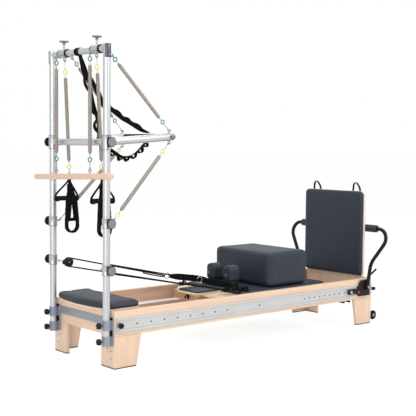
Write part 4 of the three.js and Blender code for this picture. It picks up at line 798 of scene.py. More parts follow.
def track(side):
    s = SIDES[side]
    name = side + "_outer_track"
    inner, floor, outer = TRACK_INNER, TRACK_FLOOR, TRACK_OUTER
    section = [
        (inner, 221), (outer - 1, 221), (outer, 222), (outer, 232), (outer - 1, 233), (floor, 234),
        (floor, 239.5), (floor + 3, 242.5), (floor + 3, 251), (floor + 1.8, 252.2), (floor + 1.8, 255.5),
        (floor + 3, 256.7), (floor + 3, 271.3), (floor + 1.8, 272.5), (floor + 1.8, 275.8), (floor + 3, 277),
        (floor + 3, 285.5), (floor, 288.5), (floor, 294), (outer - 1, 295), (outer, 296), (outer, 306),
        (outer - 1, 307), (inner, 307),
    ]
    rail = slab(name, [(s * y, z) for y, z in section], "X", 10, 2375, track_metal)
    drills = [
        bar("drill", (x, s * 335, TRACK_HEIGHT), (x, s * 360, TRACK_HEIGHT), 5.6, screw_black, 0, 20)
        for x in hole_places
    ]
    drill = joined("drills", *drills)
    cutter = rail.modifiers.new("holes", "BOOLEAN")
    cutter.object = drill
    cutter.solver = "EXACT"
    pick(rail)
    bpy.ops.object.modifier_apply(modifier=cutter.name)
    bpy.ops.object.shade_flat()
    bpy.data.objects.remove(drill)
    # painted shade: a near-black plug sits inside each drilled hole, where the hole is in shadow
    plugs = [
        bar(name + "_hole", (x, s * 340.4, TRACK_HEIGHT), (x, s * 347.6, TRACK_HEIGHT), 5.7, hole_shade_plug, 0, 16)
        for x in hole_places
    ]
    fitted(joined(name + "_rail", rail, *plugs), "base", name)
    star = star_knob(
        name + "_knob", (35, s * floor, TRACK_HEIGHT), (35, s * 400, TRACK_HEIGHT), 10, 19, 12, black_plastic
    )
    fitted(star, "base")
    root = (2363, s * floor, TRACK_HEIGHT)
    end = turned(
        name + "_end_knob",
        [(0, 15), (9, 15), (9, 22), (12.5, 24), (13.5, 27), (13.5, 46), (12, 49), (8, 50), (0, 50)],
        root, (2400, s * floor, TRACK_HEIGHT), black_plastic,
    )
    stem = bar(name + "_end_stem", root, (2382, s * floor, TRACK_HEIGHT), 4.7, bright_metal)
    fitted(joined(name + "_end_knob", end, stem), "base")


for side_name in SIDES:
    track(side_name)

# %% [markdown]
# ## Transport wheels
# Two wheels behind the foot legs let one person roll the unit. A plain cylinder would have no tread, so each
# is turned from two profiles: a rubber tyre with a rounded tread, and a grey hub.

# %% Wheels
for side_name, s in SIDES.items():
    name = side_name + "_transport_wheel"
    middle = (WHEEL_X, s * 328, WHEEL_Z)
    outside = (WHEEL_X, s * 400, WHEEL_Z)
    tyre = turned(
        name,
        [(13.4, -9), (30, -9), (33.5, -7.5), (35, -4), (35, 4), (33.5, 7.5), (30, 9), (13.4, 9), (13.4, -9)],
        middle, outside, black_rubber,
    )
    hub = turned(
        name + "_hub",
        [(5.6, -11.8), (12, -11.8), (13.4, -10.4), (13.4, 10.4), (12, 11.8), (5.6, 11.8), (5.6, -11.8)],
        middle, outside, disc_metal,
    )
    fitted(joined(name + "_tyre", tyre, hub), name, name)

# %% [markdown]
# ## Tower bracket
# Two plates and a cross bar are bolted to the end of the frame. Each plate carries two clamp sleeves for a
# post, with a rubber strip between post and plate, and a black hand knob closes each clamp. The plates are
# sheet steel, so thin boxes with eased edges do for them, and the sleeves are turned.

# %% Bracket
POST_X = -34
POST_Y = 304
PLATE_BACK, PLATE_FRONT = -6.3, -0.3
PLATE_LOW, PLATE_HIGH = 146, 312
bracket_parts = [
    block("tower_bracket_bar", (PLATE_BACK, -264, 257), (PLATE_FRONT, 264, 305), grey_paint, 1.2),
]
for side_name, s in SIDES.items():
    bracket_parts.append(block(
        "bracket_plate", (PLATE_BACK, s * 262, PLATE_LOW), (PLATE_FRONT, s * 337, PLATE_HIGH), grey_paint, 1.5,
    ))
    for height in (172, 268):
        ring = sleeve(
            "bracket_sleeve", (POST_X, s * POST_Y, height), (0, 0, 1), 22.4, 26.8, 61, grey_paint
        )
        web = block(
            "bracket_web", (-12, s * 277.5, height - 30), (-6, s * 330.5, height + 30), grey_paint, 1.0
        )
        bracket_parts += [ring, web]
        for z in (height - 20, height + 20):
            bracket_parts.append(bar(
                "bracket_bolt", (-9, s * 333, z), (-4, s * 333, z), 3.2, bright_metal, 0.6, 16
            ))
        root = (-57.5, s * 300, height)
        knob = star_knob(
            side_name + "_clamp_knob_" + str(height), root, (-100, s * 300, height), 17, 20, 20, black_plastic
        )
        fitted(knob, "base")
    strip = block(
        side_name + "_clamp_strip", (-11.6, s * POST_Y - 25, PLATE_LOW), (-6.4, s * POST_Y + 25, PLATE_HIGH),
        black_rubber, 1.0,
    )
    fitted(strip, "base")
fitted(joined("tower_bracket_steel", *bracket_parts), "base", "tower_bracket")

# %% [markdown]
# ## Posts and crossbar
# The posts are round tube with a dark plug in the top and the crossbar's fixing plate on the outside. The plate
# is a half sleeve, so its outline is drawn from two arcs and pushed up. The crossbar is a plain bar.

# %% Posts
CROSSBAR = 1907
for side_name, s in SIDES.items():
    name = side_name + "_post"
    wall = turned(
        name,
        [(18.5, 1), (18.5, 0), (21.4, 0), (22, 0.6), (22, 1788.4), (21.4, 1789), (18.5, 1789),
         (18.5, 1785), (0, 1785), (0, 1), (18.5, 1)],
        (POST_X, s * POST_Y, 144), (POST_X, s * POST_Y, 2000), tube_metal,
    )
    shell = []
    for reach in (25.5, 22.3):
        arc = [math.radians(-62 + 124 * i / 14) for i in range(15)]
        shell.append([(POST_X + reach * math.sin(a), s * (POST_Y + reach * math.cos(a))) for a in arc])
    plate = slab(name + "_plate", shell[0] + shell[1][::-1], "Z", 1852, 1932.5, plate_blue, 0.8)
    screws = [
        bar(name + "_screw", (POST_X, s * 329, z), (POST_X, s * 331.5, z), 4, bright_metal, 0.8, 20)
        for z in (1868, 1917)
    ]
    cap = bar(name + "_plug", (POST_X, s * POST_Y, 1928), (POST_X, s * POST_Y, 1932), 18.4, black_plastic)
    fitted(joined(name + "_tube", wall, plate, cap, *screws), "base", name)

cross = bar("top_crossbar_tube", (POST_X, -286, CROSSBAR), (POST_X, 286, CROSSBAR), 20, tube_metal)
fitted(cross, "base", "top_crossbar")

# %% [markdown]
# ## Hooks and springs
# Each hanging spring is a chain: an eyebolt, a plated loop, a coloured ring, the wound body, a second coloured
# ring and a loop to the lower eye. The chain could be modelled once and bent into place, but every spring has
# its own length and lean, so its places are worked out from its two eyes, and the loops really pass through
# each other. Here are the two links at its ends.

# %% Eyebolts and loops
EYE, EYE_WIRE = 9, 3
LOOP, LOOP_WIRE = 8, 2
LINK_REACH = EYE - EYE_WIRE - 1 - LOOP_WIRE + LOOP
ACROSS = Vector((0, 1, 0))
UP = Vector((0, 0, 1))


def eye_normal(pull, flat):
    return (flat - pull * flat.dot(pull)).normalized()


def eyebolt(name, root, centre, pull, flat=ACROSS):
    """A shank from its root to a ring that lies along the pull."""
    root, centre = Vector(root), Vector(centre)
    rim = centre + (root - centre).normalized() * EYE
    return joined(
        name,
        hoop(name, centre, eye_normal(pull, flat), EYE, EYE_WIRE, bright_metal, 28, 12),
        bar(name + "_shank", root, rim, EYE_WIRE, bright_metal, 0, 20),
    )


def loop_at(name, eye, pull, flat, finish):
    """The loop through an eye, and the point on its rim where its wire leaves."""
    centre = Vector(eye) + pull * LINK_REACH
    normal = pull.cross(eye_normal(pull, flat)).normalized()
    return hoop(name, centre, normal, LOOP, LOOP_WIRE, finish, 24), centre + pull * LOOP


print("links ready")

# %% [markdown]
# ## Winding a spring
# The body is close-wound wire with some two hundred turns, drawn in at both ends. A striped cylinder would look
# smooth from near by, so the wire is a helix swept as a thin tube with few sides, which keeps it light.

# %% The wound body
BAND, BAND_WIRE = 12.5, 3.5
STANDOFF = 33
COIL, COIL_WIRE, COIL_PITCH, COIL_TAPER = 11.4, 1.15, 2.6, 13
LINK_WIRE, HOOK_WIRE, COIL_SWEEP = 2.5, 2.3, 1.3


def winding(start, pull, length, radius, wire, pitch, taper, steps=12):
    """Places along a close-wound helix whose two ends are drawn in."""
    side = pull.orthogonal().normalized()
    other = pull.cross(side)
    turns = int(length / pitch)
    places = []
    for i in range(turns * steps + 1):
        along = length * i / (turns * steps)
        share = min(along, length - along) / taper
        reach = wire + (radius - 2 * wire) * math.sin(min(share, 1) * math.pi / 2)
        angle = math.tau * i / steps
        places.append(start + pull * along + (side * math.cos(angle) + other * math.sin(angle)) * reach)
    return places


def hanging_spring(name, head, foot, lead, body, band, foot_flat=ACROSS, split=False):
    """One spring with its rings and loops. Returns its parts, or its two halves where it is split."""
    head, foot = Vector(head), Vector(foot)
    pull = (foot - head).normalized()
    upper_loop, upper_rim = loop_at(name, head, pull, ACROSS, bright_metal)
    lower_loop, lower_rim = loop_at(name, foot, -pull, foot_flat, bright_metal)
    upper_band = head + pull * lead
    top = upper_band + pull * STANDOFF
    lower_band = top + pull * (body + STANDOFF)
    flat = eye_normal(pull, ACROSS)
    coil = winding(top, pull, body, COIL, COIL_WIRE, COIL_PITCH, COIL_TAPER)
    upper = [
        upper_loop,
        tube(name, [upper_rim, upper_band - pull * BAND], LINK_WIRE, bright_metal),
        hoop(name, upper_band, flat, BAND, BAND_WIRE, band),
        tube(name, [upper_band + pull * BAND, top + pull * 3], HOOK_WIRE, wire_metal),
    ]
    lower = [
        tube(name, [top + pull * (body - 3), lower_band - pull * BAND], HOOK_WIRE, wire_metal),
        hoop(name, lower_band, flat, BAND, BAND_WIRE, band),
        tube(name, [lower_band + pull * BAND, lower_rim], LINK_WIRE, bright_metal),
        lower_loop,
    ]
    if not split:
        return joined(name + "_coil", tube(name, coil, COIL_SWEEP, wire_metal, 1), *upper, *lower)
    half = len(coil) // 2
    return (
        joined(name + "_upper", tube(name, coil[:half + 1], COIL_SWEEP, wire_metal, 1), *upper),
        joined(name + "_lower", tube(name, coil[half:], COIL_SWEEP, wire_metal, 1), *lower),
        top + pull * body / 2,
    )


print("spring chain ready")

# %% [markdown]
# ## Roll-down bar and its springs
# The wooden bar hangs from the two sliders on green-ringed springs. It hangs a little lower at its far end, so
# it is turned about the line between its two ends, and its eyes stand on that line.

# %% Long springs and the bar
HANG_X, HANG_Y = -76, 190
LONG_COIL = 530
bar_start = Vector((HANG_X, -416, 1160))
bar_end = Vector((HANG_X, 440, 1134))
bar_length = (bar_end - bar_start).length


def roll_bar_height(y):
    return bar_start.z + (bar_end.z - bar_start.z) / (bar_end.y - bar_start.y) * (y - bar_start.y)


roll_heads = {side: Vector((HANG_X, s * HANG_Y, 1883)) for side, s in SIDES.items()}
roll_eyes = {
    side: Vector((HANG_X, s * HANG_Y, roll_bar_height(s * HANG_Y) + 34)) for side, s in SIDES.items()
}
for side_name in SIDES:
    name = side_name + "_long_spring"
    coil = hanging_spring(name, roll_heads[side_name], roll_eyes[side_name], 34, LONG_COIL, green_band)
    fitted(coil, "roll_down", name)

wooden = turned(
    "roll_down_bar_wood",
    [(0, 0), (15, 0), (17.2, 0.9), (18, 3), (18, bar_length - 3), (17.2, bar_length - 0.9), (15, bar_length),
     (0, bar_length)],
    bar_start, bar_end, turned_wood,
)
bar_parts = [wooden]
for side_name in SIDES:
    eye = roll_eyes[side_name]
    pull = (eye - roll_heads[side_name]).normalized()
    bar_parts.append(eyebolt("roll_bar_eye", (HANG_X, eye.y, roll_bar_height(eye.y)), eye, pull))
fitted(joined("roll_down_bar_wood", *bar_parts), "roll_down", "roll_down_bar")

# %% [markdown]
# ## Sliders on the crossbar
# Each slider is a sleeve with dark end rings, a T-shaped hand knob on top, and two eyebolts: one holds a long
# spring, the other a handle's spring. Everything but the eyes is round, so it is turned.

# %% Sliders
slider_y = {"near": -200, "far": 168}
handle_eye = {"near": Vector((15, -184, 1150)), "far": Vector((15, 184, 1150))}
handle_head = {"near": Vector((POST_X, -198, 1871)), "far": Vector((POST_X, 160, 1871))}
for side_name in SIDES:
    name = side_name + "_slider"
    y = slider_y[side_name]
    parts = [sleeve(name, (POST_X, y, CROSSBAR), ACROSS, 20.3, 26, 85, collar_metal)]
    for end in (y - 40.5, y + 40.5):
        parts.append(sleeve(name + "_rim", (POST_X, end, CROSSBAR), ACROSS, 20.4, 26.6, 9, black_plastic))
    hung = (
        (roll_heads[side_name], roll_eyes[side_name]),
        (handle_head[side_name], handle_eye[side_name]),
    )
    for eye, target in hung:
        level = Vector((POST_X, eye.y, CROSSBAR))
        root = level + (eye - level).normalized() * 23
        parts.append(eyebolt(name + "_eye", root, eye, (target - eye).normalized()))
    fitted(joined(name + "_sleeve", *parts), name, name)
    knob = turned(
        name + "_knob",
        [(0, 34), (9, 34), (9, 44), (12, 48), (26, 49), (30, 52), (30, 56), (27, 59), (0, 59)],
        (POST_X, y, CROSSBAR + 20.6), (POST_X, y, 2000), disc_metal, 0.8,
    )
    stem = bar(name + "_stem", (POST_X, y, CROSSBAR + 20.6), (POST_X, y, 1966), KNOB_STEM, bright_metal)
    fitted(joined(name + "_knob", knob, stem), name)

# %% [markdown]
# ## Collars on the posts
# Three pairs of sleeves slide on the posts, each locked by a round knob. The upper pair carries the push bar's
# pivots, the middle pair the lower springs, and the low pair the rope pulleys. An eyebolt turns towards what
# pulls on it, so the ends of the springs and the places of the pulleys are fixed first.

# %% Where the springs and pulleys hang
ARM_HEIGHT = 1358
ARM_Y = 255
ARM_END_X, ARM_EYE_X, GRIP_X = 500, 472, 480
ARM_RISE = 40
COLLAR_SEAT = 22.6
mid_height = {"near": 878, "far": 851}
low_height = {"near": 598, "far": 603}
low_eye = {"near": Vector((POST_X, -248, 598)), "far": Vector((POST_X, 248, 603))}
pulley_centre = {"near": Vector((24, -232, 595)), "far": Vector((20, 205, 592))}


def arm_height(x):
    """The arms rise a little from the posts to their ends."""
    return ARM_HEIGHT + ARM_RISE * (x - POST_X) / (ARM_END_X - POST_X)


ARM_EYE_HEIGHT = arm_height(ARM_EYE_X)
upper_spring_head = {"near": Vector((2, -304, 1868)), "far": Vector((POST_X, 75, 1877))}
upper_spring_foot = {
    side: Vector((ARM_EYE_X, s * ARM_Y, ARM_EYE_HEIGHT + 37)) for side, s in SIDES.items()
}
lower_spring_head = {
    "near": Vector((ARM_EYE_X, -ARM_Y, ARM_EYE_HEIGHT - 35)),
    "far": Vector((ARM_EYE_X, ARM_Y, ARM_EYE_HEIGHT - 58)),
}
lower_spring_foot = {"near": Vector((14, -304, 890)), "far": Vector((POST_X, 228, 863))}
foot_flat = {"near": ACROSS, "far": Vector((1, 0, 0))}
print("arm eyes at a height of", round(ARM_EYE_HEIGHT, 1))

# %% [markdown]
# ## A collar
# Each collar is a machined sleeve with slightly flared ends, two dark rims, a boss on its outer side and a knob
# in the boss. A plain cylinder would lose the flare that catches the light, so the sleeve is turned. All six
# share one function and differ only in height, length and what is screwed into them.

# %% Collars


def post_collar(name, side, height, length):
    s = SIDES[side]
    centre = (POST_X, s * POST_Y, height)
    root = (POST_X, s * (POST_Y + COLLAR_SEAT), height)
    knob = disc_knob(name, root, (POST_X, s * 400, height), 20, 30, 16)
    boss = turned(
        name + "_boss", [(7, 0), (14, 0), (14, 12), (12.5, 14), (7, 14), (7, 0)],
        (POST_X, s * (POST_Y + 25), height), (POST_X, s * 400, height), tube_metal,
    )
    rim_reach = length / 2 - 3
    rims = [
        hoop(name + "_rim", (POST_X, s * POST_Y, z), UP, 27.2, 1.6, collar_rim, 44, 8)
        for z in (height - rim_reach, height + rim_reach)
    ]
    return [sleeve(name, centre, UP, 22.3, 27, length, collar_metal, 1.2), boss, knob, *rims]


for side_name, s in SIDES.items():
    name = side_name + "_main_collar"
    pin = bar(name + "_pin", (POST_X, s * 276.4, ARM_HEIGHT), (POST_X, s * ARM_Y, ARM_HEIGHT), 10, bright_metal)
    fitted(joined(name + "_sleeve", *post_collar(name, side_name, ARM_HEIGHT, 89), pin), "base", name)

    name = side_name + "_mid_collar"
    foot = lower_spring_foot[side_name]
    centre = Vector((POST_X, s * POST_Y, foot.z))
    root = centre + (foot - centre).normalized() * COLLAR_SEAT
    pull = (foot - lower_spring_head[side_name]).normalized()
    eye = eyebolt(name + "_eye", root, foot, pull, foot_flat[side_name])
    parts = post_collar(name, side_name, mid_height[side_name], 62)
    fitted(joined(name + "_sleeve", *parts, eye), name, name)

    name = side_name + "_low_collar"
    eye_at = low_eye[side_name]
    pull = (pulley_centre[side_name] - eye_at).normalized()
    root = (POST_X, s * (POST_Y - COLLAR_SEAT), low_height[side_name])
    eye = eyebolt(name + "_eye", root, eye_at, pull, UP)
    parts = post_collar(name, side_name, low_height[side_name], 62)
    fitted(joined(name + "_sleeve", *parts, eye), "base", name)

# %% [markdown]
# ## Push bar
# Two arms swing on the pivot pins. A cross tube joins them at the posts, and a black foam grip joins their
# ends. Each arm end has a domed cap and a bolt into the grip. The arms are turned rather than added as
# cylinders, because the dome is part of their profile.

# %% Push bar
push_parts = [
    turned(
        "push_bar_tube",
        [(0, 22), (10.7, 22), (10.7, 0), (20.5, 0), (21.5, 1), (21.5, 552.4), (20.5, 553.4),
         (10.7, 553.4), (10.7, 531.4), (0, 531.4)],
        (POST_X, -276.7, ARM_HEIGHT), (POST_X, 276.7, ARM_HEIGHT), tube_metal,
    ),
]
for side_name, s in SIDES.items():
    root = Vector((POST_X, s * ARM_Y, ARM_HEIGHT))
    tip = Vector((ARM_END_X, s * ARM_Y, arm_height(ARM_END_X)))
    length = (tip - root).length
    push_parts.append(turned(
        "push_arm",
        [(0, 0), (24.5, 0), (24.5, length - 7), (23.5, length - 3), (20, length - 0.8), (0, length)],
        root, tip, tube_metal,
    ))
    bolt = Vector((GRIP_X, s * ARM_Y, arm_height(GRIP_X)))
    push_parts.append(turned(
        "push_bolt",
        [(0, 15), (15, 15), (15, 24), (16.5, 24.5), (16.5, 27), (15, 27.5), (15, 30), (16.5, 30.5),
         (16.5, 33), (14, 34.5), (0, 34.5)],
        bolt, bolt + Vector((0, s * 40, 0)), collar_rim,
    ))
    eye_root = Vector((ARM_EYE_X, s * ARM_Y, ARM_EYE_HEIGHT))
    upper, lower = upper_spring_foot[side_name], lower_spring_head[side_name]
    upper_pull = (upper - upper_spring_head[side_name]).normalized()
    lower_pull = (lower_spring_foot[side_name] - lower).normalized()
    push_parts.append(eyebolt("push_eye", eye_root, upper, upper_pull))
    push_parts.append(eyebolt("push_eye", eye_root, lower, lower_pull))
fitted(joined("push_bar_frame", *push_parts), "push_bar", "push_bar")
grip_height = arm_height(GRIP_X)
grip = bar("push_bar_grip", (GRIP_X, -236, grip_height), (GRIP_X, 236, grip_height), 20, black_foam, 4, 48)
fitted(grip, "push_bar")

# %% [markdown]
# ## Springs of the push bar
# The upper springs hang from the tower to the arm ends, the lower ones pull down to the middle collars. Their
# two ends belong to different bodies, so the mesh is fixed in place and rides on neither. A lower spring has a
# moving body at each end, so it is parted in the middle, where it stays still.

# %% Arm springs
ARM_COIL = 462
hook_root = {"near": (POST_X, -304, 1868), "far": (POST_X, 75, CROSSBAR)}
hook_name = {"near": "near_post_eye", "far": "crossbar_eye"}
upper_lead = {"near": 34, "far": 57}
lower_lead = {"near": 80, "far": 45}
for side_name in SIDES:
    head, foot = upper_spring_head[side_name], upper_spring_foot[side_name]
    hook = eyebolt(hook_name[side_name], hook_root[side_name], head, (foot - head).normalized())
    fitted(hook, "base")
    name = side_name + "_upper_arm_spring"
    coil = hanging_spring(name, head, foot, upper_lead[side_name], ARM_COIL, green_band)
    stretched_between(coil, "base", "push_bar", head, foot, name)

    head, foot = lower_spring_head[side_name], lower_spring_foot[side_name]
    name = side_name + "_lower_arm_spring"
    upper, lower, middle = hanging_spring(
        name, head, foot, lower_lead[side_name], ARM_COIL, yellow_band, foot_flat[side_name], split=True,
    )
    stretched_between(upper, "push_bar", "base", head, middle, name)
    stretched_between(lower, "base", side_name + "_mid_collar", middle, foot)

# %% [markdown]
# ## Handles
# A foot loop and a hand grip hang together from each handle's spring. The loop is a stuffed band that doubles
# back on itself. Folding a sheet would need a long settling, so the loop is cut from one outline, remeshed and
# rounded over.

# %% Stuffed loops
HALF_RING_STEPS = 14


def half_ring(x, z, radius):
    angles = [math.pi + math.pi * i / HALF_RING_STEPS for i in range(HALF_RING_STEPS + 1)]
    return [(x + radius * math.cos(a), z + radius * math.sin(a)) for a in angles]


def cut_out(obj, *cutters):
    """Cuts other pieces out of one, and removes them."""
    for cutter in cutters:
        cut = obj.modifiers.new("cut", "BOOLEAN")
        cut.object = cutter
        cut.solver = "EXACT"
        pick(obj)
        bpy.ops.object.modifier_apply(modifier=cut.name)
        bpy.data.objects.remove(cutter)


def softened(obj, voxel, rounds):
    """Remeshes a piece into even quads and rounds it over, as stuffed cloth is."""
    pick(obj)
    even = obj.modifiers.new("even", "REMESH")
    even.mode = "VOXEL"
    even.voxel_size = voxel * MM
    bpy.ops.object.modifier_apply(modifier=even.name)
    soft = obj.modifiers.new("soft", "SMOOTH")
    soft.iterations = rounds
    bpy.ops.object.modifier_apply(modifier=soft.name)
    bpy.ops.object.shade_smooth()


def band_loop(name, eye):
    """A stuffed band: it hangs as a flat bag with a slit, and opens at the foot for a shoe."""
    outer = [
        (-11, -57), (-11, -110), (-21, -160), (-27, -290), *half_ring(18, -324, 46), (63, -290), (50, -160),
        (28, -110), (11, -57),
    ]
    opening = [(-16, -293), *half_ring(18, -323, 34), (52, -293)]
    slit = [(0, -274), (7, -190), (17, -160), (27, -190), (36, -274)]
    low, high = eye.y - 17, eye.y + 17
    shapes = []
    for outline, reach in ((outer, 0), (opening, 30), (slit, 30)):
        corners = [(eye.x + x, eye.z + z) for x, z in outline]
        shapes.append(slab(name, corners, "Y", low - reach, high + reach, nylon))
    cut_out(*shapes)
    softened(shapes[0], 3.0, 5)
    return shapes[0]


print("loop maker ready")

# %% [markdown]
# ## Hand grips and straps
# The grip is a foam roll that hangs in two thin straps from the same ring as the foot loop. The roll is turned,
# and the straps are strips along smooth routes from the ring, round the roll's ends and under it.

# %% Handles
GRIP_DROP, GRIP_HALF = 146, 78
handle_lead = {"near": 68, "far": 76}
grip_shift = {"near": 4, "far": -21}
for side_name in SIDES:
    body = side_name + "_handle"
    head, eye = handle_head[side_name], handle_eye[side_name]
    name = side_name + "_handle_spring"
    coil = hanging_spring(name, head, eye, handle_lead[side_name], LONG_COIL, yellow_band)
    fitted(coil, body, name)

    loop = band_loop(side_name + "_foot_loop", eye)
    fitted(loop, body, side_name + "_handle")

    shift = grip_shift[side_name]
    middle = Vector((eye.x + shift, eye.y, eye.z - GRIP_DROP))
    roll = turned(
        side_name + "_hand_grip",
        [(0, 0), (12, 0), (15, 3), (15, 153), (12, 156), (0, 156)],
        middle - Vector((GRIP_HALF, 0, 0)), middle + Vector((GRIP_HALF, 0, 0)), black_foam,
    )
    fitted(roll, body)

    straps = []
    for end in (-1, 1):
        outer = middle + Vector((end * (GRIP_HALF + 2), 0, 0))
        route = [
            eye + Vector((end * 1.5, 0, -9)), eye + Vector((end * 8 + shift * 0.25, 0, -40)),
            outer + Vector((-end * 10, 0, 34)), outer + Vector((end * 2, 0, 8)), outer + Vector((0, 0, -14)),
            outer + Vector((-end * 22, 0, -17.5)),
        ]
        straps.append(strap(body + "_strap", curved(route, 5), ACROSS, 21, 4, webbing))
    hanger = [eye + Vector((0, 0, -8)), eye + Vector((1, 0, -80))]
    straps.append(strap(body + "_hanger", hanger, ACROSS, 24, 9, webbing))
    fitted(joined(body + "_straps", *straps), body)
    flat = eye_normal((eye - head).normalized(), ACROSS)
    fitted(hoop(body + "_eye", eye, flat, EYE, EYE_WIRE, bright_metal), body)

# %% [markdown]
# ## Daisy straps
# Two webbing straps run from the crossbar to the push bar's grip. Each has short loops sewn along it, which
# stand away from the strap as small bows. Cloth would drop them straight down, but the real ones keep the
# twist they were hooked with, so their routes and their turn are given, and the bows follow from them.

# %% Straps with sewn loops
STRAP_WIDTH, LOOP_WIDTH, STRAP_THICKNESS = 30, 26, 5
LOOP_SPAN = 4
daisy_route = {
    "upper": [
        (-25, 0, 1884), (12, 0, 1763), (63, 0, 1735), (145, 0, 1590), (205, 0, 1568), (287, 0, 1517),
        (352, 0, 1487), (443, 0, 1441), (500, 0, 1424),
    ],
    "lower": [
        (-22, 0, 1884), (30, 0, 1763), (71, 0, 1600), (108, 0, 1484), (118, 0, 1384), (160, 0, 1335),
        (201, 0, 1313), (272, 0, 1272), (314, 0, 1266), (365, 0, 1277), (420, 0, 1309), (464, 0, 1350),
        (493, 0, 1374),
    ],
}
daisy_turn = {"upper": Vector((-0.35, 0.45, -0.82)), "lower": Vector((-0.15, 0.9, -0.35))}
first_loop = {"upper": 6, "lower": 4}
loop_reach = {"upper": 10, "lower": -27}


def twist(share):
    """How far a strap is turned at a share of its length: level at both ends, fully turned between."""
    return math.sin(math.pi * min(1.4 * share, 1.4 * (1 - share), 0.5))


daisy_parts = []
for label, route in daisy_route.items():
    line = curved(route, 5)
    last = len(line) - 1
    ways = [ACROSS.lerp(daisy_turn[label], twist(i / last)) for i in range(len(line))]
    daisy_parts.append(strap("daisy_" + label, line, ways, STRAP_WIDTH, STRAP_THICKNESS, webbing))
    for i in range(first_loop[label], last - LOOP_SPAN, LOOP_SPAN + 1):
        start, end = Vector(line[i]), Vector(line[i + LOOP_SPAN])
        out = (end - start).normalized().cross(ACROSS).normalized() * loop_reach[label]
        bow = [
            start, start.lerp(end, 0.22) + out * 0.7, start.lerp(end, 0.5) + out,
            start.lerp(end, 0.78) + out * 0.7, end,
        ]
        way = ways[i + LOOP_SPAN // 2]
        daisy_parts.append(strap("daisy_loop", curved(bow, 4), way, LOOP_WIDTH, STRAP_THICKNESS, webbing))
daisy_parts.append(sleeve("daisy_wrap", (POST_X, 0, CROSSBAR), ACROSS, 20.4, 24.5, 40, webbing))
daisy = joined("daisy_strap_pair", *daisy_parts)
stretched_between(daisy, "base", "push_bar", (POST_X, 0, 1884), (GRIP_X, 0, 1400), "daisy_straps")

# %% [markdown]
# ## Pulleys
# A grooved sheave turns between two black cheeks, hung from the low collar by a shackle. A pulley hangs in the
# line of its rope, so the sheave is turned about an axis across that line, and the cheeks are drawn upright,
# pushed out and swung round to it.

# %% Pulleys and sheaves
CHEEK_INNER, CHEEK_OUTER, CHEEK_RADIUS, CHEEK_TAIL = 9.3, 12.3, 26, 38
CHEEK_STEPS = 12
rope_end = {"near": Vector((755, -200, 462)), "far": Vector((756, 150, 448))}
clip_end = {"near": Vector((1006, -208, 368)), "far": Vector((907, 150, 378))}


def rope_plan(side):
    """The level direction in which a rope leaves its pulley."""
    plan = rope_end[side] - pulley_centre[side]
    plan.z = 0
    return plan.normalized()


cheek_outline = [(-CHEEK_TAIL, -12)]
for step in range(CHEEK_STEPS + 1):
    angle = -math.pi / 2 + math.pi * step / CHEEK_STEPS
    cheek_outline.append((CHEEK_RADIUS * math.cos(angle), CHEEK_RADIUS * math.sin(angle)))
cheek_outline.append((-CHEEK_TAIL, 12))

for side_name in SIDES:
    centre = pulley_centre[side_name]
    plan = rope_plan(side_name)
    across = UP.cross(plan)
    name = side_name + "_sheave"
    wheel = turned(
        name,
        [(5.3, -9), (29.5, -9), (31, -8.3), (30.6, -7.2), (22.6, -3.6), (21.5, 0), (22.6, 3.6),
         (30.6, 7.2), (31, 8.3), (29.5, 9), (5.3, 9), (5.3, -9)],
        centre, centre + across, black_plastic,
    )
    fitted(wheel, name, name)
    name = side_name + "_pulley"
    swung = Matrix(((plan.x, across.x, 0), (plan.y, across.y, 0), (0, 0, 1))).to_4x4()
    push = (0, (CHEEK_OUTER - CHEEK_INNER) * MM, 0)
    parts = []
    for inner in (CHEEK_INNER, -CHEEK_OUTER):
        points = [(u * MM, inner * MM, v * MM) for u, v in cheek_outline]
        cheek = drawn(name, points, [], [range(len(points))])
        in_edit_mode(
            lambda: bpy.ops.mesh.extrude_region_move(TRANSFORM_OT_translate={"value": push}),
            face_outwards,
        )
        cheek.matrix_world = Matrix.Translation(place(centre)) @ swung
        parts.append(made(name, black_plastic, 1.0))
    start = centre - plan * 35.75
    reach = across * CHEEK_OUTER
    parts.append(bar(name + "_bridge", start - reach, start + reach, 4, black_plastic, 0.8))
    parts.append(bar(name + "_pin", centre - across * 13.6, centre + across * 13.6, 4.9, bright_metal, 0.8))
    eye_at = low_eye[side_name]
    pull = (centre - eye_at).normalized()
    shackle, rim = loop_at(name + "_shackle", eye_at, pull, UP, bright_metal)
    parts += [shackle, tube(name + "_link", [rim, start], LINK_WIRE, bright_metal)]
    fitted(joined(name + "_housing", *parts), "base", name)

# %% [markdown]
# ## Ropes
# Each rope runs from its padded strap round the sheave and back to a clip on the carriage. Pulled taut, it is
# two straight runs and the arc that they touch, so it can be worked out and needs no settling. It crosses the
# carriage's slide, so its mesh is fixed in place and rides on neither the frame nor the carriage.

# %% Rope lines
ROPE_BEND = 27
ROPE_RADIUS, TAIL_RADIUS = 4.8, 4.2
ARC_STEPS, RUN_STEPS, TAIL_STEPS = 24, 40, 16
TAIL_SHARE = 0.24


def touch(centre, plan, target, turn_way):
    """The angle at which a line from the target touches the rope's bend."""
    run = (target - centre).dot(plan)
    rise = target.z - centre.z
    return math.atan2(rise, run) + turn_way * math.acos(ROPE_BEND / math.hypot(run, rise))


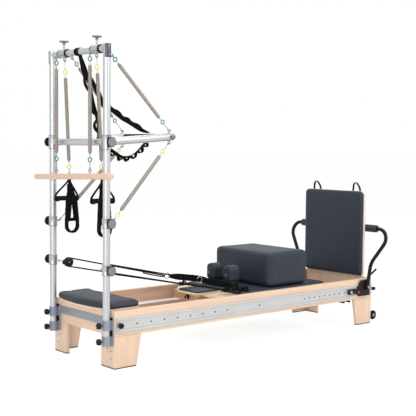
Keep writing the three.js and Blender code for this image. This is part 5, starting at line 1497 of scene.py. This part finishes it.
for side_name in SIDES:
    name = side_name + "_rope"
    centre, plan = pulley_centre[side_name], rope_plan(side_name)
    end, clip = rope_end[side_name], clip_end[side_name]
    first = touch(centre, plan, end, 1)
    last = touch(centre, plan, clip, -1) + math.tau
    arc = []
    for step in range(ARC_STEPS + 1):
        angle = first + (last - first) * step / ARC_STEPS
        arc.append(centre + (plan * math.cos(angle) + UP * math.sin(angle)) * ROPE_BEND)
    shares = [i / RUN_STEPS for i in range(1, RUN_STEPS)]
    there = [end.lerp(arc[0], share) for share in shares]
    back = [arc[-1].lerp(clip, share) for share in shares]
    doubled = [end]
    for i in range(TAIL_STEPS + 1):
        share = i / TAIL_STEPS
        bulge = math.sin(share * math.pi)
        doubled.append(end.lerp(arc[0], TAIL_SHARE * share) + Vector((0, 4 * bulge, -9 - 3 * bulge)))
    line = tube(name + "_line", [end, *there, *arc, *back, clip], ROPE_RADIUS, webbing, 3)
    tail = tube(name + "_tail", doubled, TAIL_RADIUS, webbing, 3)
    rope = joined(name + "_line", line, tail)
    stretched_between(rope, "base", "carriage", centre + plan * 60, end - plan * 60, name)

# %% [markdown]
# ## Rings and padded straps
# The rope ends in a plated ring that holds a padded strap. The strap is stuffed evenly and narrows towards both
# ends. A swollen cloth would bulge too far in the middle, so one rounded section is carried along it instead.

# %% Padded straps
PAD_STEPS = 12
pad_end = {"near": Vector((1049, -200, 397)), "far": Vector((1134, 150, 389))}
pad_section = rounded([(-9, -23), (9, -23), (9, 23), (-9, 23)], 6, 3)


def fullness(share):
    """How much of its full width a padded strap has at a share of its length."""
    from_end = min(share, 1 - share)
    return 0.55 + 0.45 * math.sin(from_end * math.pi * 1.6) if from_end < 0.31 else 1.0


for side_name in SIDES:
    name = side_name + "_rope"
    pull = (pad_end[side_name] - rope_end[side_name]).normalized()
    lift = ACROSS.cross(pull).normalized()
    ring_centre = rope_end[side_name] + pull * 22
    fitted(hoop(name + "_ring", ring_centre, ACROSS, 21, 2.6, bright_metal, 36, 12), "carriage")
    start = ring_centre + pull * 20
    length = (pad_end[side_name] - start).length
    verts = []
    for step in range(PAD_STEPS + 1):
        share = step / PAD_STEPS
        middle = start + pull * length * share
        verts += [place(middle + ACROSS * u + lift * v * fullness(share)) for u, v in pad_section]
    count = len(pad_section)
    faces = []
    for i in range(PAD_STEPS):
        for j in range(count):
            k = (j + 1) % count
            faces.append((i * count + j, i * count + k, (i + 1) * count + k, (i + 1) * count + j))
    faces += [tuple(range(count)), tuple(range(PAD_STEPS * count, (PAD_STEPS + 1) * count))]
    drawn(name + "_pad", verts, [], faces)
    in_edit_mode(face_outwards)
    padded_strap = made(name + "_pad", nylon)
    fitted(padded_strap, "carriage")

# %% [markdown]
# ## Clips
# A plated clip and a black cleat hold the rope's other end on the carriage, and the spare webbing lies there in
# loose bows. Only the outsides of the bows show, so each is one short strap bent round on itself.

# %% Clips and bows
tails = {
    "near": [Vector((1075, -262, 369)), Vector((1141, -292, 367))],
    "far": [Vector((975, 150, 372))],
}
knots = {
    "near": [(1052, -246, 372), (1092, -262, 371), (1136, -266, 370), (1010, -222, 374)],
    "far": [(930, 148, 374)],
}
bow_shape = [(-26, -9, -4), (-16, -4, 15), (4, 3, 20), (22, 8, 6), (8, 10, -6), (-22, 0, -5)]
for side_name in SIDES:
    name = side_name + "_rope"
    clip = clip_end[side_name]
    route = [clip - Vector((22, 0, 0)), clip, *tails[side_name]]
    clip_parts = [
        strap(name + "_clip_strap", curved(route, 5), ACROSS, 24, 6, webbing),
        hoop(name + "_clip", clip, (0, 0.4, 1), 10, 3, bright_metal),
        turned(
            name + "_cleat",
            [(0, -20), (10, -20), (14, -15), (15, -6), (12, 0), (15, 6), (14, 15), (10, 20), (0, 20)],
            clip, clip + Vector((0.9, -0.4, 0)), black_plastic,
        ),
    ]
    for knot in knots[side_name]:
        bow = [Vector(knot) + Vector(step) for step in bow_shape]
        clip_parts.append(strap(name + "_bow", curved(bow, 4), (0.25, 1, 0.1), 24, 5, webbing))
    fitted(joined(name + "_clip_strap", *clip_parts), "carriage")

# %% [markdown]
# ## Pads
# A pad is foam on a board under leather: firm, nearly flat, with a soft edge and a slight crown. A plain slab
# would look hard, so the cover is remeshed into even quads, the side on the board is pinned, and Cloth with a
# little inner pressure lets the rest swell. A cap keeps every point close to the real size.

# %% Making a pad
PAD_FRAMES = 20


def swell(obj, base, pressure, cap, axis, voxel, side):
    """Blows a pad up gently while the side on its board, at base along the axis, stays pinned."""
    softened(obj, voxel, 4)
    held = obj.vertex_groups.new(name="held")
    before = [v.co.copy() for v in obj.data.vertices]
    pinned = [i for i, co in enumerate(before) if (co[axis] - base) * -side < voxel * MM]
    held.add(pinned, 1.0, "REPLACE")
    cloth = obj.modifiers.new("cover", "CLOTH")
    cloth.settings.use_pressure = True
    cloth.settings.uniform_pressure_force = pressure
    cloth.settings.vertex_group_mass = held.name
    cloth.settings.effector_weights.gravity = 0
    for step in range(1, PAD_FRAMES + 1):
        bpy.context.scene.frame_set(step)
    shaped = obj.evaluated_get(bpy.context.evaluated_depsgraph_get())
    after = [v.co.copy() for v in shaped.data.vertices]
    obj.modifiers.remove(cloth)
    for vertex, old, new in zip(obj.data.vertices, before, after):
        move = new - old
        if move.length > cap * MM:
            move = move.normalized() * cap * MM
        vertex.co = old + move
    obj.vertex_groups.clear()
    fine = obj.modifiers.new("fine", "SUBSURF")
    fine.levels = fine.render_levels = 1
    bpy.ops.object.shade_smooth()
    return obj


def cushion(name, outline, along, low, high, finish, ease, base, pressure=3.0, cap=4.0, voxel=8.0, side=-1):
    """A pad from its outline. Its board is on its low side, or on its high side where side is 1."""
    obj = slab(name, outline, along, low, high, finish, ease, 4)
    axis = "XYZ".index(along)
    origin = [0, 0, 0]
    origin[axis] = base
    return swell(obj, place(origin)[axis], pressure, cap, axis, voxel, side)


print("pad maker ready")

# %% [markdown]
# ## Platform
# The fixed platform at the tower end is bowed out between the posts. Board and pad follow the same curve, so
# one outline is drawn with a parabola at one end and round corners at the other, and set in a little for each.

# %% Platform
PLATFORM_START, PLATFORM_END, PLATFORM_HALF = -52, 230, 305
BOW_DEPTH, BOW_STEPS = 46, 24
CORNER_RADIUS, CORNER_STEPS = 40, 7


def platform_outline(inset):
    half = PLATFORM_HALF - inset
    corner = CORNER_RADIUS - inset
    points = []
    for i in range(BOW_STEPS + 1):
        share = 2 * i / BOW_STEPS - 1
        points.append((PLATFORM_START + inset + BOW_DEPTH * share * share, -share * half))
    for start, sign in ((-1, -1), (0, 1)):
        for step in range(CORNER_STEPS + 1):
            angle = (start + step / CORNER_STEPS) * math.pi / 2
            x = PLATFORM_END - inset - corner + corner * math.cos(angle)
            points.append((x, sign * (half - corner) + corner * math.sin(angle)))
    return points


board = slab("platform_board", platform_outline(5), "Z", 345.3, 357.2, maple_y, 2, 2)
fitted(board, "base", "platform_pad")
platform = cushion("platform_cover", platform_outline(4), "Z", 357.4, 394, leather, 10, 357.4, 3.0, 5.0)
fitted(platform, "base")

# %% [markdown]
# ## Pads on the carriage
# The carriage pad is thin and firm, the headrest thinner still on a plywood flap with its hinge, and the
# sitting box is a padded block that simply stands on the carriage. All are rounded rectangles from above, so
# the pad maker takes them with three sets of sizes, and each rides on its own body.

# %% Carriage pad, headrest and sitting box


def rectangle(x0, x1, half, radius):
    return rounded([(x0, -half), (x1, -half), (x1, half), (x0, half)], radius, 6)


carriage_cover = cushion(
    "carriage_cover", rectangle(1068, 1903, 298, 24), "Z", 336.2, 360.6, leather, 7, 336.2, 2.0, 2.2
)
fitted(carriage_cover, "carriage", "carriage_pad")

head_board = slab("headrest_board", rectangle(825, 1050, 115, 30), "Z", 336, 347.8, ply_board, 1.0)
head_hinge = bar("headrest_hinge", (1058, -115, 342), (1058, 115, 342), 4, bright_metal)
fitted(joined("headrest_board", head_board, head_hinge), "headrest", "headrest")
head_cover = cushion(
    "headrest_cover", rectangle(831, 1046, 110, 27), "Z", 348, 359.5, leather, 4.5, 348, 2.0, 1.5, 5.0
)
fitted(head_cover, "headrest")

box_cover = cushion(
    "sitting_box_cover", rectangle(1332, 1726, 291, 38), "Z", 362.6, 605, leather, 30, 362.6, 2.0, 1.2, 9.0
)
fitted(box_cover, "sitting_box", "sitting_box")

# %% [markdown]
# ## Shoulder rests
# Two padded blocks with a round top stand on the carriage, one on each side of the neck. Each has a black foot,
# whose pin goes down through the carriage pad, and a small ring in front. The pad is drawn from the front,
# because only that outline is round.

# %% Shoulder rests
REST_Y = 90
REST_HALF, REST_LOW, REST_ROUND_Z, REST_ROUND = 43, 404, 479, 34
REST_STEPS = 8
for side_name, s in SIDES.items():
    name = side_name + "_shoulder_rest"
    y = s * REST_Y
    outline = [(y - REST_HALF, REST_LOW), (y + REST_HALF, REST_LOW)]
    for start, corner in ((0, y + REST_HALF - REST_ROUND), (1, y - REST_HALF + REST_ROUND)):
        for step in range(REST_STEPS + 1):
            angle = (start + step / REST_STEPS) * math.pi / 2
            outline.append((corner + REST_ROUND * math.cos(angle), REST_ROUND_Z + REST_ROUND * math.sin(angle)))
    rest = cushion(name + "_cover", outline, "X", 1117, 1205, leather, 13, 1205, 3.0, 1.0, 4.0, 1)
    fitted(rest, "carriage", name)
    base = slab(
        name + "_base", rounded([(1124, y - 35), (1198, y - 35), (1198, y + 35), (1124, y + 35)], 10, 4),
        "Z", 362.4, 405.8, black_plastic, 2,
    )
    hook = hoop(name + "_hook", (1112, y, 445), ACROSS, 8, 2, bright_metal)
    pin = bar(name + "_pin", (1161, y, 318), (1161, y, 363), 8, bright_metal)
    fitted(joined(name + "_base", base, hook, pin), "carriage")

# %% [markdown]
# ## Carriage underside
# Under the pad are the wheels on two axles, a black bumper on the nose, and five springs to the bar under the
# rails. The axle and both wheels turn as one, so they are one turned profile, mirrored. The springs are wound
# like the long ones. Their ends lie on the carriage and the frame, so their mesh is fixed in place and rides on
# neither.

# %% Axles, bumper and springs
AXLE_Z = 277.3
for label, x in (("front", 1010), ("rear", 1800)):
    name = label + "_wheel_axle"
    half = [(6, 288), (10, 288), (10, 291), (20.5, 291), (22, 292.5), (22, 305.5), (20.5, 307), (0, 307)]
    mirrored = [(r, -d) for r, d in reversed(half)]
    axle = turned(name + "_wheels", mirrored + half, (x, 0, AXLE_Z), (x, 10, AXLE_Z), black_plastic)
    fitted(axle, label + "_axle", name)
bumper = turned(
    "carriage_bumper", [(0, 0), (16.4, 0), (16.4, 16), (15, 21.5), (10, 24.7), (0, 24.7)],
    (880.3, 45, 302), (800, 45, 302), black_rubber,
)
fitted(bumper, "carriage")

SPRING_Z = 260.3
HOOKED_X, KNOB_X = 1772, 2101
hook_bar = bar("carriage_hook_bar", (1766.3, -225, SPRING_Z), (1766.3, 225, SPRING_Z), 6, bright_metal)
spring_parts = [hook_bar]
pull = Vector((1, 0, 0))
for y in (-180, -90, 0, 90, 180):
    start, end = Vector((HOOKED_X, y, SPRING_Z)), Vector((KNOB_X, y, SPRING_Z))
    coil = winding(start + pull * 20, pull, 270, 11, 1.5, 3.3, 24, 10)
    spring_parts += [
        tube("carriage_spring", coil, 1.65, wire_metal, 1),
        tube("carriage_spring_hook", [start, start + pull * 23], 3, bright_metal),
        tube("carriage_spring_rod", [start + pull * 287, end], 3.5, bright_metal),
        bar("carriage_spring_knob", end + pull * 0.5, end + pull * 9, 7, black_plastic, 1),
    ]
springs = joined("carriage_spring_set", *spring_parts)
stretched_between(springs, "carriage", "base", (1790, 0, SPRING_Z), (2070, 0, SPRING_Z), "carriage_springs")

# %% [markdown]
# ## Jump board
# A padded board hooks over the foot end. Its pad lies on a pale birch backing, and two carrying loops of
# webbing are fixed to the top. The pad is pinned on its far side, where the backing is, so the cloth swells
# towards the person who jumps.

# %% Jump board
JUMP_HALF = 297
BACKING_FRONT, BACKING_BACK = 2329.2, 2346
CARRY_Y = 203


def upright(low, high, radius):
    return rounded([(-JUMP_HALF, low), (JUMP_HALF, low), (JUMP_HALF, high), (-JUMP_HALF, high)], radius, 8)


jump_cover = cushion(
    "jump_board_cover", upright(360, 1012, 37), "X", 2302, 2329, leather, 11, 2329, 2.0, 3.0, 7.0, 1
)
fitted(jump_cover, "jump_board", "jump_board")
backing = slab(
    "jump_board_backing", upright(358, 1010, 34), "X", BACKING_FRONT, BACKING_BACK, pale_edge, 2
)
lower_backing = block("jump_board_lower", (BACKING_FRONT, -287, 215), (BACKING_BACK, 287, 400), maple_z, 2)
hooks = []
for s in (-1, 1):
    low, high = sorted((s * 150, s * 250))
    hooks.append(block("jump_hook", (2344, low, 262), (2356.5, high, 357), black_plastic, 1.5))
    hooks.append(block("jump_hook", (2344, low, 350.4), (2374, high, 357.3), black_plastic, 1.5))
fitted(joined("jump_board_backing", backing, lower_backing, *hooks), "jump_board")
for side_name, s in SIDES.items():
    y = s * CARRY_Y
    route = [
        (2349, y - 33, 950), (2349, y - 33, 1024), (2338, y - 17, 1063), (2337, y, 1074),
        (2338, y + 17, 1063), (2349, y + 33, 1024), (2349, y + 33, 950),
    ]
    loop = strap(side_name + "_carry_loop", curved(route, 6), (1, 0, 0), 20, 3, webbing)
    fitted(loop, "jump_board")

# %% [markdown]
# ## Foot bar
# A bent black tube with a padded leather grip stands on two slide blocks that run on the tracks. A curve
# through a few points would wave between its bends, so the straight lengths meet in true arcs, as a tube bender
# leaves them, and the line is swept.

# %% Foot bar
PIVOT_X, PIVOT_Y, PIVOT_Z = 2292, 374.9, 290
KNEE_Z, SHOULDER_Z = 466, 727
BAR_LEAN = 0.2


def arcs(corners, radii, steps=8):
    """Corner points of a bent tube, each inner one replaced by an arc."""
    line = [Vector(corners[0])]
    for i in range(1, len(corners) - 1):
        here = Vector(corners[i])
        back = (Vector(corners[i - 1]) - here).normalized()
        ahead = (Vector(corners[i + 1]) - here).normalized()
        half = back.angle(ahead) / 2
        radius = radii[i - 1]
        centre = here + (back + ahead).normalized() * (radius / math.sin(half))
        first = (here + back * (radius / math.tan(half)) - centre).normalized()
        last = (here + ahead * (radius / math.tan(half)) - centre).normalized()
        for step in range(steps + 1):
            line.append(centre + first.slerp(last, step / steps) * radius)
    line.append(Vector(corners[-1]))
    return line


def bar_x(height):
    return PIVOT_X + BAR_LEAN * (height - PIVOT_Z)


bent = [(PIVOT_X, PIVOT_Y, PIVOT_Z), (bar_x(KNEE_Z), 374, KNEE_Z), (bar_x(SHOULDER_Z), 545, SHOULDER_Z)]
corners = [(x, -y, z) for x, y, z in bent] + bent[::-1]
foot_tube = tube("footbar_tube", arcs(corners, [140, 76, 76, 140]), 14, tube_black, 6)
bosses = [
    turned(
        "footbar_boss", [(10, 0), (20.5, 0), (22, 1.5), (22, 26.5), (20.5, 28), (10, 28), (10, 0)],
        (PIVOT_X, s * 360.9, PIVOT_Z), (PIVOT_X, s * 400, PIVOT_Z), black_plastic,
    )
    for s in (-1, 1)
]
fitted(joined("footbar_tube", foot_tube, *bosses), "footbar", "footbar")
top_x = bar_x(SHOULDER_Z)
foot_grip = turned(
    "footbar_grip",
    [(14.3, 0), (23, 0), (26.5, 2), (28, 6), (28, 766), (26.5, 770), (23, 772), (14.3, 772)],
    (top_x, -386, SHOULDER_Z), (top_x, 386, SHOULDER_Z), leather,
)
fitted(foot_grip, "footbar")

# %% [markdown]
# ## What holds the foot bar
# Each slide block is a flat plate with the bar's pivot pin, and a plunger that drops into a hole of the track.
# A red button sits beside the near plunger, and a black lever stands at the end of the frame. The plate is an
# outline with round corners, and everything on it is round, so it is turned about the pin or the plunger.

# %% Slide blocks, plungers, button and lever
PLUNGER_X = 2112
for side_name, s in SIDES.items():
    name = side_name + "_footbar_slider"
    outline = [
        (2098, 245), (2200, 245), (2219, 222), (2340, 222), (2340, 322), (2321, 341), (2238, 341),
        (2200, 283), (2098, 283),
    ]
    plate = slab(name, rounded(outline, 5, 3), "Y", s * 350.6, s * 360.4, black_plastic, 1.5)
    pin = bar(name + "_pin", (PIVOT_X, s * 358, PIVOT_Z), (PIVOT_X, s * 391.9, PIVOT_Z), 9, bright_metal)
    head = turned(
        name + "_bolt", [(0, 389.2), (12, 389.2), (12, 391), (9.5, 392.2), (0, 392.2)],
        (PIVOT_X, 0, PIVOT_Z), (PIVOT_X, s, PIVOT_Z), bright_metal,
    )
    plunger = turned(
        name + "_plunger",
        [(0, 358), (8, 358), (8, 366), (11, 368), (11, 378), (9.5, 380.4), (0, 380.4)],
        (PLUNGER_X, 0, TRACK_HEIGHT), (PLUNGER_X, s, TRACK_HEIGHT), bright_metal,
    )
    ribs_on = [
        bar(name + "_rib", (x, s * 359, 238), (x, s * 362.5, 238), 4, black_plastic, 0.8, 16)
        for x in (2230, 2322)
    ]
    fitted(joined(name + "_plate", plate, pin, head, plunger, *ribs_on), "footbar_sliders", name)
button = turned(
    "release_button_cap", [(0, 0), (9, 0), (9, 9), (8, 11), (5.5, 12), (0, 12)],
    (2205, -357.9, 255), (2205, -400, 255), red_plastic,
)
fitted(button, "release_button", "release_button")
lever_root = Vector((2366, -325, 350))
lever_start, lever_end = (2366, -325, 356), (2452, -325, 406)
lever_boss = turned(
    "footbar_lever_boss", [(0, 0.3), (12, 0.3), (12, 10.5), (10.5, 12), (0, 12)],
    lever_root, lever_root + Vector((0, 0, 50)), black_plastic,
)
lever_rod = tube("footbar_lever_rod", [lever_start, lever_end], 5.9, black_plastic, 4)
lever_grip = turned(
    "footbar_lever_grip", [(0, 40), (6, 40), (7.4, 44), (7.4, 96), (6, 101), (0, 102)],
    lever_start, lever_end, black_foam,
)
fitted(joined("footbar_lever_arm", lever_boss, lever_rod, lever_grip), "footbar_lever", "footbar_lever")

# %% [markdown]
# ## Floor
# A pale floor, as in a catalogue. Lit by the lamps alone it would turn grey towards the back, and a glowing one
# would lose the soft shadow under the unit. So the camera, gloss and glass see a mix of both, while the light
# that the floor throws back stays real.

# %% Floor
FLOOR_GLOW, FLOOR_SHARE = 1.17, 0.72


def seen_rays(graph):
    """1 for what the camera, gloss or glass sees, 0 for light on its way to a surface."""
    kinds = ("Is Camera Ray", "Is Glossy Ray", "Is Transmission Ray")
    camera_ray, glossy_ray, glass_ray = [
        graph.node("ShaderNodeLightPath", output=kind) for kind in kinds
    ]
    return camera_ray + glossy_ray + glass_ray


def pale_floor():
    finish = Finish("studio_floor", (0.92, 0.92, 0.92), 0.9)
    lit = Value(finish, finish.shader.outputs[0])
    glow = finish.node("ShaderNodeEmission", {}, {"Color": (1, 1, 1, 1), "Strength": FLOOR_GLOW})
    blend = finish.node("ShaderNodeMixShader", {}, {0: seen_rays(finish) * FLOOR_SHARE, 1: lit, 2: glow})
    finish.feed(finish.tree.nodes["Material Output"].inputs["Surface"], blend)
    return finish.material


pick()
bpy.ops.mesh.primitive_plane_add(size=400, location=(0, 0, -0.0005))
floor = made("floor", pale_floor())
print("floor ready")

# %% [markdown]
# ## World and lamps
# Soft light comes from three large lamps and a faint sky. They stay at a plain level, so a colour renders about
# as it is written. A white sky bright enough for the background would wash the piece out, so the white is only
# what the camera, gloss and glass see.

# %% World and lamps
LAMP_AIM = Vector((0, 0, 0.6))
world = bpy.data.worlds.new("studio")
bpy.context.scene.world = world
world.use_nodes = True
sky = Graph(world.node_tree)
ambient = sky.node("ShaderNodeBackground", {}, {"Color": (0.95, 0.97, 1.0, 1), "Strength": 0.55})
white = sky.node("ShaderNodeBackground", {}, {"Color": (1, 1, 1, 1), "Strength": 1.0})
chosen = sky.node("ShaderNodeMixShader", {}, {0: seen_rays(sky), 1: ambient, 2: white})
sky.feed(sky.tree.nodes["World Output"].inputs["Surface"], chosen)


def softbox(name, where, size, power):
    lamp = bpy.data.lights.new(name, "AREA")
    lamp.shape = "RECTANGLE"
    lamp.size, lamp.size_y = size
    lamp.energy = power
    obj = bpy.data.objects.new(name, lamp)
    obj.location = where
    obj.rotation_euler = (LAMP_AIM - Vector(where)).to_track_quat("-Z", "Y").to_euler()
    bpy.context.scene.collection.objects.link(obj)


softbox("key", (1.6, -4.8, 4.2), (5.0, 4.4), 172)
softbox("top", (-0.5, 0.5, 5.5), (6.0, 5.0), 165)
softbox("fill", (-5.0, -2.6, 2.2), (3.2, 3.6), 92)
print("studio ready")

# %% [markdown]
# ## Sizes
# The dressed model has to stay as big as the imported one, or its joints and mounts would no longer fit. This
# block only ends the script.

# %% Finish
print("scene finished")
